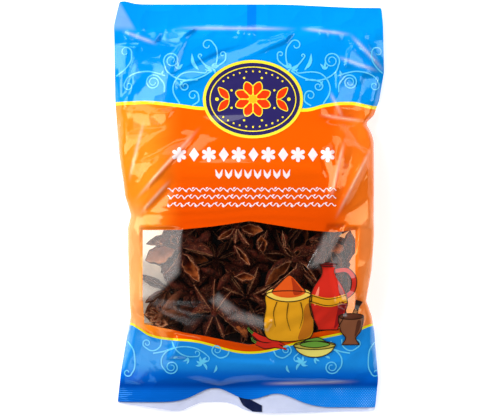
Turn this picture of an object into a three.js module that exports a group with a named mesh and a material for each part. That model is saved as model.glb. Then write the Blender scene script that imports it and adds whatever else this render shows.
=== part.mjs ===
// A sealed window bag of whole star anise, lying on its back with the printed front up.
//
// It is a flow-wrapped film pouch: one tube of printed film with a welded seal across the top and the
// bottom and a lap seam down the back. The load of stiff, star-shaped pods fills the lower two thirds
// and holds the film out like a cushion; the empty top lies flat. The back film runs a little past
// the front film at the bottom, as a bare lip. Film and load are one closed solid here.
//
// Millimetres. +X is the front's right, +Y its top, +Z up, out of the front. The origin is at the
// middle of the footprint, on the surface that the bag lies on.
import * as THREE from "three";

// ---------------------------------------------------------------- driving dimensions
const BAG_LENGTH = 182.6; // top edge to the lip at the bottom
const BAG_WIDTH = 119.9; // across the flat film at the top
const FILL_THICKNESS = 25; // over the load, at the fullest place
const SEAM_HEIGHT = 10.5; // the side folds above the table, along the load
const SEAL_THICKNESS = 0.9; // both films of a seal, thicker than real film so that it can be a solid
const FILL_TOP = 47; // where the load ends, towards the top
const FILL_BOTTOM = -63; // where the load ends, towards the bottom
const TOP_SEAL_DEPTH = 11.5; // flat band across the top
const BOTTOM_SEAL_DEPTH = 13; // flat band across the bottom

const HALF_LENGTH = BAG_LENGTH / 2;
const HALF_WIDTH = BAG_WIDTH / 2;

// How far each side edge stands in from the bag's full half width, as [y, inset]. The film is pulled
// in along the load, and folds in sharply at a few notches.
const LEFT_INSET = [
  [91.3, 2.6], [80.7, 0], [47.3, 0.5], [26.2, 2.2], [5.1, 5.2], [-3.7, 7.8],
  [-9, 6.1], [-47.7, 7.4], [-61.8, 4.9], [-72.4, 3.1], [-91.3, 0.9],
];
const RIGHT_INSET = [
  [91.3, 1.6], [80.7, 0.6], [60, 0.2], [47.3, 2.4], [40.3, 5.0], [37.6, 8.5],
  [33.2, 6.0], [29.7, 5.0], [-12.5, 5.0], [-26.6, 5.9], [-40.7, 8.5], [-47.7, 5.9],
  [-54.8, 4.6], [-75.9, 2.8], [-91.3, 4.4],
];

// How far the back film's lower edge stands up from the bag's end, as [x, lift].
const LIP_EDGE = [
  [60, 1.2], [50, 0.9], [30, 0.4], [5.5, 0.2], [0, 0.9], [-3, 1.8], [-6, 3.6], [-11, 5.0],
  [-22, 5.0], [-27, 3.0], [-31, 1.2], [-36, 1.2], [-43, 2.2], [-53, 3.6], [-60, 4.6],
];

// Creases in the front film, as ridges from one point to another, [x, y]. A hollow has a negative height.
const CREASES = [
  { from: [-22, 36], to: [-52, -2], height: 1.6, width: 3.0 }, // long fold, down to the left notch
  { from: [-30, 16], to: [-49, -8], height: -1.3, width: 2.8 }, // its lower lip
  { from: [54, 30], to: [36, -4], height: 1.6, width: 2.8 }, // from the right notch down
  { from: [42, 44], to: [40, 6], height: 1.1, width: 2.8 }, // short fold beside it
  { from: [52, 38], to: [33, 40], height: -1.8, width: 3.4 }, // hollow inside the right notch
  { from: [18, 76], to: [-40, 48], height: 1.4, width: 4.0 }, // slack fold across the empty top
  { from: [43, 79], to: [60, 60], height: 1.3, width: 3.2 }, // corner fold, top right
  { from: [-57, 79], to: [-42, 70], height: 1.4, width: 3.0 }, // corner fold, top left
  { from: [-50, -52], to: [-35, -66], height: 1.3, width: 3.6 }, // corner fold, bottom left
  { from: [51, -40], to: [38, -46], height: -1.4, width: 3.4 }, // hollow inside the lower right notch
];

// Pods that press through the film: rows of low bumps over the load, from a seeded jitter.
const POD_PITCH = 17;
const POD_BUMP_RADIUS = 9;
const POD_BUMP_HEIGHT = 1.6;
const BUMP_SEED = 11;

const COLUMNS = 40; // faces across each film
const ROWS = 58; // faces along each film
const FOLD_ROUNDNESS = 2.6; // exponent of the cushion's cross section: 2 is an ellipse, more is squarer

// ---------------------------------------------------------------- small helpers
const clamp01 = (t) => Math.min(1, Math.max(0, t));
const smooth = (t) => clamp01(t) ** 2 * (3 - 2 * clamp01(t));
const bell = (t) => Math.exp(-t * t);

/** The value at key of a list of [key, value] with falling keys, on straight stretches. */
function alongEdge(list, key) {
  const next = list.findIndex(([k]) => k <= key);
  if (next === 0) return list[0][1];
  if (next < 0) return list[list.length - 1][1];
  const [k0, v0] = list[next - 1];
  const [k1, v1] = list[next];
  return THREE.MathUtils.mapLinear(key, k0, k1, v0, v1);
}

/** A repeatable stream of numbers from 0 to 1. */
function seededNumbers(seed) {
  let state = seed;
  return () => {
    state = (state * 16807) % 2147483647;
    return state / 2147483647;
  };
}

// ---------------------------------------------------------------- the bag's outline
/** The cut edge across the top: nearly straight, with the left corner standing up a little. */
const topEdge = (x) => HALF_LENGTH - 1.2 + 1.2 * bell((x + 58) / 4) - 1.5 * smooth((x - 10) / 45);

/** The front film's lower edge, which arches up in two places and uncovers the back film's lip. */
const frontBottomEdge = (x) =>
  -86.2 - 2.4 * smooth((x - 18) / 20) + 6.2 * bell((x + 16) / 11) + 3.8 * bell((x - 13) / 9);

/** The back film's lower edge. */
const backBottomEdge = (x) => -HALF_LENGTH + alongEdge(LIP_EDGE, x);

// ---------------------------------------------------------------- the bag's height
/** How far the side folds and the back are held apart by the load: 1 beside it, 0 at the ends. */
const fillShare = (y) => smooth((FILL_TOP - y) / 34) * smooth((y - FILL_BOTTOM) / 26);

/** The front film's rise over the load: a long slope from the top, and a steep shoulder at the bottom. */
const riseShare = (y) =>
  smooth((FILL_TOP + 26 - y) / 58) *
  (0.35 * smooth((y - FILL_BOTTOM + 17.5) / 13) + 0.65 * smooth((y - FILL_BOTTOM + 13) / 30));

/** 0 on the seals, 1 away from them. */
const slackShare = (y) =>
  smooth((HALF_LENGTH - TOP_SEAL_DEPTH - y) / 14) * smooth((y + HALF_LENGTH - BOTTOM_SEAL_DEPTH) / 12);

/** Height of the side folds: up along the load, near the table at the ends. */
function seamHeight(x, y) {
  const ends = 2.2 + 3.2 * bell((x + 58) / 9) * smooth((y - 70) / 20);
  const ripple = 1.1 * Math.sin(x / 8.5) * smooth((-70 - y) / 14);
  return THREE.MathUtils.lerp(ends + ripple, SEAM_HEIGHT, fillShare(y));
}

/** The cushion's cross section: 0 at the side folds, 1 in the middle. */
const crossSection = (u) => (1 - Math.abs(2 * u - 1) ** FOLD_ROUNDNESS) ** (1 / FOLD_ROUNDNESS);

/** Height of one crease above the smooth film. */
function creaseHeight({ from, to, height, width }, x, y) {
  const [dx, dy] = [to[0] - from[0], to[1] - from[1]];
  const along = clamp01(((x - from[0]) * dx + (y - from[1]) * dy) / (dx * dx + dy * dy));
  const off = Math.hypot(x - from[0] - along * dx, y - from[1] - along * dy);
  return height * bell(off / width) * (0.4 + 0.6 * Math.sin(Math.PI * along));
}

/** Small puckers that run out of both seals. */
const puckers = (x, y) =>
  0.5 * Math.sin(x / 2.1 + 2 * Math.sin(x / 9)) *
  (bell((y - HALF_LENGTH + TOP_SEAL_DEPTH + 4) / 5) + 0.7 * bell((y + HALF_LENGTH - BOTTOM_SEAL_DEPTH - 4) / 6));

const podBumps = (() => {
  const random = seededNumbers(BUMP_SEED);
  const bumps = [];
  for (let row = 0, y = FILL_BOTTOM + 14; y < FILL_TOP - 12; y += POD_PITCH * 0.87, row += 1)
    for (let x = -HALF_WIDTH + 16 + (row % 2) * POD_PITCH * 0.5; x < HALF_WIDTH - 14; x += POD_PITCH)
      bumps.push({ x: x + 5 * (random() - 0.5), y: y + 5 * (random() - 0.5), size: 0.4 + 0.6 * random() });
  return bumps;
})();

const podRelief = (x, y) =>
  podBumps.reduce(
    (sum, b) => sum + POD_BUMP_HEIGHT * b.size * bell(Math.hypot(x - b.x, y - b.y) / (POD_BUMP_RADIUS * 0.6)),
    0,
  );

/** Height of the front film. */
function frontHeight(u, x, y) {
  const bulge = crossSection(u);
  const load = (FILL_THICKNESS - SEAM_HEIGHT - POD_BUMP_HEIGHT * 0.6) * riseShare(y);
  const air = 2.4 * slackShare(y) * (1 - riseShare(y));
  const folds = CREASES.reduce((sum, crease) => sum + creaseHeight(crease, x, y), 0);
  const edgeFade = smooth(Math.min(u, 1 - u) * 14);
  const relief = (folds + puckers(x, y)) * slackShare(y) + podRelief(x, y) * fillShare(y);
  return seamHeight(x, y) + SEAL_THICKNESS / 2 + (load + air) * bulge + relief * edgeFade;
}

/** Height of the back film, flat on the table under the load. */
function backHeight(u, x, y) {
  const drop = (SEAM_HEIGHT + 1.5) * fillShare(y) * crossSection(u) ** 0.8;
  const sag = 1.2 * slackShare(y) * crossSection(u);
  return Math.max(0, seamHeight(x, y) - SEAL_THICKNESS / 2 - drop - sag);
}

// ---------------------------------------------------------------- the closed surface
/** A row of points across one film. share is 0 at the film's lower edge and 1 at the top. */
function filmRow(share, bottomEdge, height) {
  return Array.from({ length: COLUMNS + 1 }, (_, i) => {
    const u = i / COLUMNS;
    const wide = THREE.MathUtils.lerp(-HALF_WIDTH, HALF_WIDTH, u);
    const y = THREE.MathUtils.lerp(bottomEdge(wide), topEdge(wide), share);
    const x = THREE.MathUtils.lerp(
      -HALF_WIDTH + alongEdge(LEFT_INSET, y),
      HALF_WIDTH - alongEdge(RIGHT_INSET, y),
      u,
    );
    return new THREE.Vector3(x, y, height(u, x, y));
  });
}

/** Rows of points from the front film's top down, over the lip, and up the back film. */
function sectionRows() {
  const rows = [];
  for (let j = ROWS; j >= 0; j -= 1) rows.push(filmRow(j / ROWS, frontBottomEdge, frontHeight));
  const lipTop = (u, x, y) => backHeight(u, x, y) + SEAL_THICKNESS / 2;
  rows.push(filmRow(0, (x) => frontBottomEdge(x) - 0.15, lipTop));
  rows.push(filmRow(0, backBottomEdge, lipTop));
  for (let j = 0; j <= ROWS; j += 1) rows.push(filmRow(j / ROWS, backBottomEdge, backHeight));
  return rows;
}

/** One closed mesh from rings of points: side fold to side fold over the front, and back underneath. */
function closedFilm() {
  const rows = sectionRows();
  const across = COLUMNS + 1;
  const positions = rows.flat().flatMap((p) => p.toArray());
  const index = [];
  const at = (row, column) => row * across + column;
  const quad = (a, b, c, d) => index.push(a, b, c, a, c, d);

  const closing = rows.length; // the last row joins the first: the seal's edge at the top
  for (let r = 0; r < closing; r += 1)
    for (let c = 0; c < COLUMNS; c += 1) {
      const s = (r + 1) % closing;
      quad(at(r, c), at(s, c), at(s, c + 1), at(r, c + 1));
    }

  // Side folds: the ring of end points on each side is paired from the top down.
  for (const [column, turned] of [[0, false], [COLUMNS, true]]) {
    let front = 0;
    let back = closing - 1;
    while (back - front > 1) {
      const [a, b, c, d] = [at(front, column), at(back, column), at(back - 1, column), at(front + 1, column)];
      if (back - front === 2) index.push(...(turned ? [a, d, b] : [a, b, d]));
      else if (turned) quad(a, d, c, b);
      else quad(a, b, c, d);
      front += 1;
      back -= 1;
    }
  }

  const geometry = new THREE.BufferGeometry();
  geometry.setAttribute("position", new THREE.Float32BufferAttribute(positions, 3));
  geometry.setIndex(index);
  geometry.computeBoundingBox();
  const { min, max } = geometry.boundingBox;
  geometry.translate(-(min.x + max.x) / 2, -(min.y + max.y) / 2, -min.z);
  geometry.computeVertexNormals();
  return geometry;
}

// ---------------------------------------------------------------- the part
const printedFilm = new THREE.MeshStandardMaterial({ color: 0xf26a0c, roughness: 0.25, metalness: 0 });

const bag = new THREE.Mesh(closedFilm(), printedFilm);
bag.name = "window_bag";

const part = new THREE.Group();
part.add(bag);

export default part;
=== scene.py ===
import math

import bpy
import numpy as np
from mathutils import Matrix, Vector
from mathutils.bvhtree import BVHTree
from mathutils.geometry import delaunay_2d_cdt


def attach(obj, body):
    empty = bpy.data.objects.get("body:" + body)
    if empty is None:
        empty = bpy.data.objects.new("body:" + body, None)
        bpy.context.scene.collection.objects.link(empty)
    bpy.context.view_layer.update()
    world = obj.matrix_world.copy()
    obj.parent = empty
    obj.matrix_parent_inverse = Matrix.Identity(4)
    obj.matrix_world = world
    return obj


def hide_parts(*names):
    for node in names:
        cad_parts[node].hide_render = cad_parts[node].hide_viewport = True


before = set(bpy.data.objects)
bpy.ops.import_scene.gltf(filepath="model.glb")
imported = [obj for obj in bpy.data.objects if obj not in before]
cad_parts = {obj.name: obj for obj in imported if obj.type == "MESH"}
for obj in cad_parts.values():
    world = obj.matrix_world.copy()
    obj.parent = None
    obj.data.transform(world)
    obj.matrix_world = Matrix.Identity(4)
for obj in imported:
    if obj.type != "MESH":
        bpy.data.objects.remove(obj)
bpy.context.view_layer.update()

scene = bpy.context.scene
MM = 0.001  # shapes below are worked out in millimetres and become metres as they turn into meshes

# ------------------------------------------------------------------ table, light and camera
# The bag can't stand, so it lies on a plain pale table. Two softboxes and a strip light it as in a
# small product studio, and the camera looks straight down on it through a long lens.
VIEW_WIDTH = 220.0  # what the render's long side takes in, at the film's mean height
FILM_MEAN_HEIGHT = 12.0
LENS = 200.0
SENSOR = 36.0


def colour(hex_code):
    """An sRGB hex colour as the linear RGBA that shaders take."""
    parts = [int(hex_code[i:i + 2], 16) / 255 for i in (1, 3, 5)]
    return [p / 12.92 if p <= 0.04045 else ((p + 0.055) / 1.055) ** 2.4 for p in parts] + [1.0]


def add(tree, kind, inputs=None, output=0, **settings):
    """Adds a node and gives one of its outputs. Inputs are constants, hex colours or other outputs."""
    node = tree.nodes.new("ShaderNode" + kind)
    for name, value in settings.items():
        setattr(node, name, value)
    for socket, value in (inputs or {}).items():
        if isinstance(value, bpy.types.NodeSocket):
            tree.links.new(value, node.inputs[socket])
        else:
            node.inputs[socket].default_value = colour(value) if isinstance(value, str) else value
    return node.outputs[output]


def new_material(name):
    """A material with its empty node tree and the socket that takes its finished surface."""
    material = bpy.data.materials.new(name)
    material.use_nodes = True
    material.node_tree.nodes.clear()
    surface = material.node_tree.nodes.new("ShaderNodeOutputMaterial").inputs["Surface"]
    return material, material.node_tree, surface


def softbox(name, place, width, height, power, target=(0.0, 0.0, 0.0)):
    """A rectangular lamp that faces the target."""
    bpy.ops.object.light_add(type="AREA", location=place)
    lamp = bpy.context.object
    lamp.name = name
    lamp.data.shape = "RECTANGLE"
    lamp.data.size = width
    lamp.data.size_y = height
    lamp.data.energy = power
    lamp.rotation_euler = (Vector(target) - Vector(place)).to_track_quat("-Z", "Y").to_euler()


softbox("left_softbox", (-0.9, 0.38, 0.88), 0.75, 0.85, 17.0)
softbox("right_softbox", (0.95, 0.36, 0.85), 0.6, 0.9, 9.2)
softbox("low_left_softbox", (-0.55, -1.0, 0.95), 0.6, 0.5, 3.2)
softbox("top_strip", (-0.5, 1.2, 0.6), 1.1, 0.4, 5.5)

world = bpy.data.worlds.new("studio")
scene.world = world
world.use_nodes = True
background = world.node_tree.nodes["Background"]
background.inputs["Color"].default_value = colour("#F6F8FC")
background.inputs["Strength"].default_value = 0.05

bpy.ops.mesh.primitive_plane_add(size=6.0, location=(0, 0, -0.4 * MM))
table = bpy.context.object
table.name = "pale_table"
# Matt white board. It glows a little, as a lit table does, so that it stays even to its edges.
board, tree, surface = new_material("matt_white_board")
tree.links.new(add(tree, "BsdfPrincipled", {
    "Base Color": "#E2E2E2", "Roughness": 0.9, "Emission Color": "#FFFFFF",
    "Emission Strength": 0.62}), surface)
table.data.materials.append(board)

distance = VIEW_WIDTH * LENS / SENSOR
eye = Vector((0.3, -0.4, distance + FILM_MEAN_HEIGHT)) * MM
bpy.ops.object.camera_add(location=eye, rotation=(0, 0, 0))
camera = bpy.context.object
camera.data.lens = LENS
camera.data.sensor_width = SENSOR
camera.data.clip_end = 20
scene.camera = camera
scene.view_settings.view_transform = "Standard"

# ------------------------------------------------------------------ the bag's shape
# One tube of printed film, welded flat across the top and the bottom. The load holds it out like a
# cushion and pulls the sides in; the empty top third lies slack. These sizes are the solid's own.
BAG_LENGTH = 182.6
BAG_WIDTH = 119.9
FILL_THICKNESS = 25.0
SEAM_HEIGHT = 10.5
SEAL_THICKNESS = 0.9
FILL_TOP = 47.0
FILL_BOTTOM = -63.0
TOP_TAPER = 34.0  # lengths over which the load thins out
BOTTOM_TAPER = 26.0
TOP_SEAL_DEPTH = 11.5
BOTTOM_SEAL_DEPTH = 13.0
HALF_LENGTH = BAG_LENGTH / 2
HALF_WIDTH = BAG_WIDTH / 2
FOLD_ROUNDNESS = 2.6  # an ellipse would have 2, a box much more
AIR_BULGE = 2.4  # how far air lifts the slack film over the load's ends
BACK_SAG = 1.2
LEFT_INSET = [
    (91.3, 2.6), (80.7, 0), (47.3, 0.5), (26.2, 2.2), (5.1, 5.2), (-3.7, 7.8),
    (-9, 6.1), (-47.7, 7.4), (-61.8, 4.9), (-72.4, 3.1), (-91.3, 0.9),
]
RIGHT_INSET = [
    (91.3, 1.6), (80.7, 0.6), (60, 0.2), (47.3, 2.4), (40.3, 5.0), (37.6, 8.5),
    (33.2, 6.0), (29.7, 5.0), (-12.5, 5.0), (-26.6, 5.9), (-40.7, 8.5), (-47.7, 5.9),
    (-54.8, 4.6), (-75.9, 2.8), (-91.3, 4.4),
]
# How far the back film's lower edge stands up from the bag's end, as (x, lift).
LIP_EDGE = [
    (60, 1.2), (50, 0.9), (30, 0.4), (5.5, 0.2), (0, 0.9), (-3, 1.8), (-6, 3.6), (-11, 5.0),
    (-22, 5.0), (-27, 3.0), (-31, 1.2), (-36, 1.2), (-43, 2.2), (-53, 3.6), (-60, 4.6),
]
# Ridges and hollows in the front film: (from x, y), (to x, y), height, width.
CREASES = [
    ((-22, 36), (-52, -2), 1.6, 3.0), ((-30, 16), (-49, -8), -1.3, 2.8),
    ((54, 30), (36, -4), 1.6, 2.8), ((42, 44), (40, 6), 1.1, 2.8),
    ((52, 38), (33, 40), -1.8, 3.4), ((18, 76), (-40, 48), 1.4, 4.0),
    ((43, 79), (60, 60), 1.3, 3.2), ((-57, 79), (-42, 70), 1.4, 3.0),
    ((-50, -52), (-35, -66), 1.3, 3.6), ((51, -40), (38, -46), -1.4, 3.4),
]


def smooth(t):
    t = np.clip(t, 0, 1)
    return t * t * (3 - 2 * t)


def bell(t):
    return np.exp(-t * t)


def along_edge(inset, y):
    """The value at y of a list of (y, value) with falling y, on straight stretches."""
    return np.interp(y, [k for k, _ in inset[::-1]], [v for _, v in inset[::-1]])


def top_edge(x):
    return HALF_LENGTH - 1.2 + 1.2 * bell((x + 58) / 4) - 1.5 * smooth((x - 10) / 45)


def front_bottom_edge(x):
    waves = 6.2 * bell((x + 16) / 11) + 3.8 * bell((x - 13) / 9)
    return -86.2 - 2.4 * smooth((x - 18) / 20) + waves


def back_bottom_edge(x):
    return -HALF_LENGTH + along_edge(LIP_EDGE, x)


def bag_sides(y):
    """Where the bag's left and right edges are at y."""
    return -HALF_WIDTH + along_edge(LEFT_INSET, y), HALF_WIDTH - along_edge(RIGHT_INSET, y)


def fill_share(y):
    return smooth((FILL_TOP - y) / TOP_TAPER) * smooth((y - FILL_BOTTOM) / BOTTOM_TAPER)


def rise_share(y):
    shoulder = 0.35 * smooth((y - FILL_BOTTOM + 17.5) / 13) + 0.65 * smooth((y - FILL_BOTTOM + 13) / 30)
    return smooth((FILL_TOP + 26 - y) / 58) * shoulder


def slack_share(y):
    top = smooth((HALF_LENGTH - TOP_SEAL_DEPTH - y) / 14)
    return top * smooth((y + HALF_LENGTH - BOTTOM_SEAL_DEPTH) / 12)


def seam_height(x, y):
    top_corner = 3.2 * bell((x + 58) / 9) * smooth((y - 70) / 20)
    ends = 2.2 + top_corner + 1.1 * np.sin(x / 8.5) * smooth((-70 - y) / 14)
    share = fill_share(y)
    return ends * (1 - share) + SEAM_HEIGHT * share


def cross_section(u):
    return (1 - np.abs(2 * u - 1) ** FOLD_ROUNDNESS) ** (1 / FOLD_ROUNDNESS)


def crease_relief(x, y):
    total = 0.0
    for (from_x, from_y), (to_x, to_y), height, width in CREASES:
        dx, dy = to_x - from_x, to_y - from_y
        along = np.clip(((x - from_x) * dx + (y - from_y) * dy) / (dx * dx + dy * dy), 0, 1)
        off = np.hypot(x - from_x - along * dx, y - from_y - along * dy)
        total = total + height * bell(off / width) * (0.4 + 0.6 * np.sin(np.pi * along))
    return total


def front_height(u, x, y):
    """The front film before it settles, as in the solid but without the bumps of the pods."""
    load = (FILL_THICKNESS - SEAM_HEIGHT) * rise_share(y)
    air = AIR_BULGE * slack_share(y) * (1 - rise_share(y))
    relief = crease_relief(x, y) * slack_share(y) * smooth(np.minimum(u, 1 - u) * 14)
    return seam_height(x, y) + SEAL_THICKNESS / 2 + (load + air) * cross_section(u) + relief


def back_height(u, x, y):
    drop = (SEAM_HEIGHT + 1.5) * fill_share(y) * cross_section(u) ** 0.8
    sag = BACK_SAG * slack_share(y) * cross_section(u)
    return np.maximum(0, seam_height(x, y) - SEAL_THICKNESS / 2 - drop - sag)


def film_share(x, y):
    """Place across the bag, 0 at the left edge and 1 at the right, at a point seen from above."""
    left, right = bag_sides(y)
    return np.clip((x - left) / (right - left), 0, 1)


def solid_from(name, points, faces):
    """A smooth mesh object from points in millimetres."""
    mesh = bpy.data.meshes.new(name)
    mesh.from_pydata((points * MM).tolist(), [], faces)
    thing = bpy.data.objects.new(name, mesh)
    scene.collection.objects.link(thing)
    mesh.polygons.foreach_set("use_smooth", [True] * len(mesh.polygons))
    mesh.update()
    return thing


def only(thing):
    """Selects one object and makes it active."""
    bpy.ops.object.select_all(action="DESELECT")
    thing.select_set(True)
    bpy.context.view_layer.objects.active = thing
    return thing


def edit_all(thing, *steps):
    """Runs edit-mode operators, each a pair with its settings, on the whole of a thing's mesh."""
    only(thing)
    bpy.ops.object.mode_set(mode="EDIT")
    bpy.ops.mesh.select_all(action="SELECT")
    for operator, settings in steps:
        operator(**settings)
    bpy.ops.object.mode_set(mode="OBJECT")


# ------------------------------------------------------------------ back film
# The underside of the tube. It lies flat on the table under the load, is printed like the front, and
# runs a little past the front film at the bottom as a bare lip. Its inner side is a pale tint.
WINDOW_LEFT, WINDOW_RIGHT = -46.7, 46.2
WINDOW_TOP = [
    (-46.5, -9.9), (-30, -9.7), (-15.1, -8.1), (0.3, -5.7), (23.7, -9.7), (36, -10.8), (46.1, -9.7),
]
WINDOW_BOTTOM = [
    (-47.2, -51.3), (-38.8, -53), (-19.5, -55.7), (0.3, -59.4), (20, -55.7), (39, -53), (47.2, -51.3),
]
# The two yellow lines that part azure from orange.
UPPER_LINE = [
    (-59, 46), (-46.8, 46.4), (-32.7, 45.1), (-21.2, 43.6), (24.1, 42.9), (34.2, 45.1), (44.3, 46),
    (56.2, 44.2),
]
LOWER_LINE = [
    (-52.2, -51.3), (-49.4, -52.6), (-43.7, -56.1), (-23.4, -58.7), (0.3, -63.8), (24, -58.7),
    (48.7, -53.5), (54.9, -51.7),
]
UPPER_LINE_WIDTH = 1.5
LOWER_LINE_WIDTH = 1.05
LINE_BLUR = 0.07
FILM_THICKNESS = 0.06
SEAL_GAP = 0.1  # half the space between the two films where they are welded
COLUMN_SHARES = (8, 70, 8)  # faces beside, across and beside the window
ROW_SHARES = (24, 34, 76)  # faces below, along and above the window


def edge_gap(u):
    """Half the space between the films near the side folds, where they meet."""
    return SEAL_GAP + (SEAL_THICKNESS / 2 - SEAL_GAP) * smooth(np.minimum(u, 1 - u) * 30)


def spaced(index, counts, stops):
    """Places of evenly numbered rows or columns, with counts[k] faces between stops k and k + 1."""
    place, first = stops[0], 0
    for count, start, end in zip(counts, stops, stops[1:]):
        place = np.where(index > first, start + (end - start) * (index - first) / count, place)
        first += count
    return place


def curve_at(points, x):
    return np.interp(x, [p for p, _ in points], [q for _, q in points])


def film_grid(bottom_edge):
    """Places (u, x, y) of the film's points, rows up the bag and columns across it. Whole rows and
    columns run along the window's edges."""
    columns, rows = sum(COLUMN_SHARES), sum(ROW_SHARES)
    c, r = np.meshgrid(np.arange(columns + 1), np.arange(rows + 1))
    flat_x = -HALF_WIDTH + BAG_WIDTH * c / columns
    seen_x = flat_x * 0.93  # the load pulls the sides in
    window_bottom, window_top = curve_at(WINDOW_BOTTOM, seen_x), curve_at(WINDOW_TOP, seen_x)
    y = spaced(r, ROW_SHARES, [bottom_edge(flat_x), window_bottom, window_top, top_edge(flat_x)])
    left, right = bag_sides(y)
    across = right - left
    u = spaced(c, COLUMN_SHARES, [0, (WINDOW_LEFT - left) / across, (WINDOW_RIGHT - left) / across, 1])
    return u, left * (1 - u) + right * u, y


def film_object(name, points):
    """A grid primitive shaped to the film's points, which are rows by columns in millimetres."""
    rows, columns = points.shape[0] - 1, points.shape[1] - 1
    bpy.ops.object.select_all(action="DESELECT")
    bpy.ops.mesh.primitive_grid_add(x_subdivisions=columns, y_subdivisions=rows, size=1)
    film = bpy.context.object
    film.name = film.data.name = name
    flat = np.empty(len(film.data.vertices) * 3)
    film.data.vertices.foreach_get("co", flat)
    flat = flat.reshape(-1, 3)
    c = np.rint((flat[:, 0] + 0.5) * columns).astype(int)
    r = np.rint((flat[:, 1] + 0.5) * rows).astype(int)
    film.data.vertices.foreach_set("co", (points[r, c] * MM).ravel())
    film.data.polygons.foreach_set("use_smooth", [True] * len(film.data.polygons))
    film.data.update()
    return film, r, c


def apply_modifier(thing, kind, **settings):
    """Adds a modifier with its settings and applies it."""
    modifier = only(thing).modifiers.new(kind.lower(), kind)
    for key, value in settings.items():
        setattr(modifier, key, value)
    bpy.ops.object.modifier_apply(modifier=modifier.name)


def line_height(tree, x_share, line):
    """Height, in metres, of a printed line of (x, y) points at a place across the bag."""
    curve = add(tree, "FloatCurve", {"Value": x_share})
    mapping = curve.node.mapping
    points = mapping.curves[0].points
    inner = [((x + HALF_WIDTH) / BAG_WIDTH, y) for x, y in line]
    stops = [(0.0, line[0][1]), *inner, (1.0, line[-1][1])]
    while len(points) < len(stops):
        points.new(0.5, 0.5)
    for point, (x, y) in zip(points, stops):
        point.location = (x, (y + HALF_LENGTH) / BAG_LENGTH)
        point.handle_type = "AUTO_CLAMPED"
    mapping.update()
    ends = {"To Min": -HALF_LENGTH * MM, "To Max": HALF_LENGTH * MM}
    return add(tree, "MapRange", {"Value": curve, **ends}, clamp=False)


def where(tree, *shares):
    """The product of shares. Each is a constant, an output, or an edge: a coordinate and the places in
    millimetres where the share is 0 and where it is 1."""
    whole = None
    for share in shares:
        if isinstance(share, tuple):
            value, none, full = share
            share = add(tree, "MapRange", {"Value": value, "From Min": none * MM, "From Max": full * MM},
                        interpolation_type="SMOOTHSTEP")
        whole = share if whole is None else add(tree, "Math", {0: whole, 1: share}, operation="MULTIPLY")
    return whole


def painted(tree, ground, *coats):
    """A ground colour under coats. Each coat is a colour and the shares by which it covers."""
    for coat, *shares in coats:
        ground = add(tree, "Mix", {0: where(tree, *shares), 6: ground, 7: coat}, 2, data_type="RGBA")
    return ground


def printed_fields(tree):
    """The print's fields of colour: azure above and below, orange between, and two yellow lines, with
    painted shade and light on them. Gives the colour, the share of the orange field, and the coordinates:
    x, y and all three."""
    coordinates = add(tree, "TexCoord", output="Object")
    place = add(tree, "SeparateXYZ", {"Vector": coordinates}).node
    x, y = place.outputs["X"], place.outputs["Y"]
    sides = {"From Min": -HALF_WIDTH * MM, "From Max": HALF_WIDTH * MM}
    x_share = add(tree, "MapRange", {"Value": x, **sides})
    over_upper, over_lower = [
        add(tree, "Math", {0: y, 1: line_height(tree, x_share, line)}, operation="SUBTRACT")
        for line in (UPPER_LINE, LOWER_LINE)
    ]
    # Painted shade: above the bottom seal the azure is painted deep blue, and on the seal it is darker to
    # the left, for the shade where the film slopes down to the seal.
    painted_shade_above_seal = painted(tree, "#003FA0", ("#0068DA", (y, -79.5, -74.5)))
    seal_with_painted_shade = painted(tree, "#0460C6", ("#0A80E6", (x, -10, 25)))
    azure = painted(
        tree, "#0092EC", ("#029EFA", (y, 70, 80)), ("#1C90EA", (y, 40, -20)),
        (painted_shade_above_seal, (y, -69, -75)), (seal_with_painted_shade, (y, -78, -82)))
    # Painted shade and light: the orange is painted darker towards the window, for the shade of the pods
    # behind the film, and paler beside the load, for the light that comes through the film there and the
    # sheen on it.
    orange = painted(
        tree, "#E44A00", ("#F25C02", (y, -12, 26)), ("#FF8A1C", (x, -28, -46)), ("#FF7618", (x, 34, 48)),
        ("#FFA862", (y, 6, -8), (x, -44, -50)), ("#FF8A40", (y, 6, -8), (x, 46, 51)))
    lower, upper = LOWER_LINE_WIDTH / 2, UPPER_LINE_WIDTH / 2
    printed = painted(
        tree, azure,
        ("#F2E418", (over_lower, -lower - LINE_BLUR, -lower + LINE_BLUR)),
        (orange, (over_lower, lower - LINE_BLUR, lower + LINE_BLUR)),
        ("#FFEE2A", (over_upper, -upper - LINE_BLUR, -upper + LINE_BLUR)),
        (azure, (over_upper, upper - LINE_BLUR, upper + LINE_BLUR)))
    between = where(tree, (over_lower, -LINE_BLUR, LINE_BLUR), (over_upper, LINE_BLUR, -LINE_BLUR))
    return printed, between, x, y, coordinates


def white_panel(x, y):
    """The edges of the back's plain white panel, which shows at the window's upper left corner."""
    return (x, -51.2, -51), (x, -7.8, -8), (y, -51.2, -51), (y, 28.2, 28)


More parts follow.
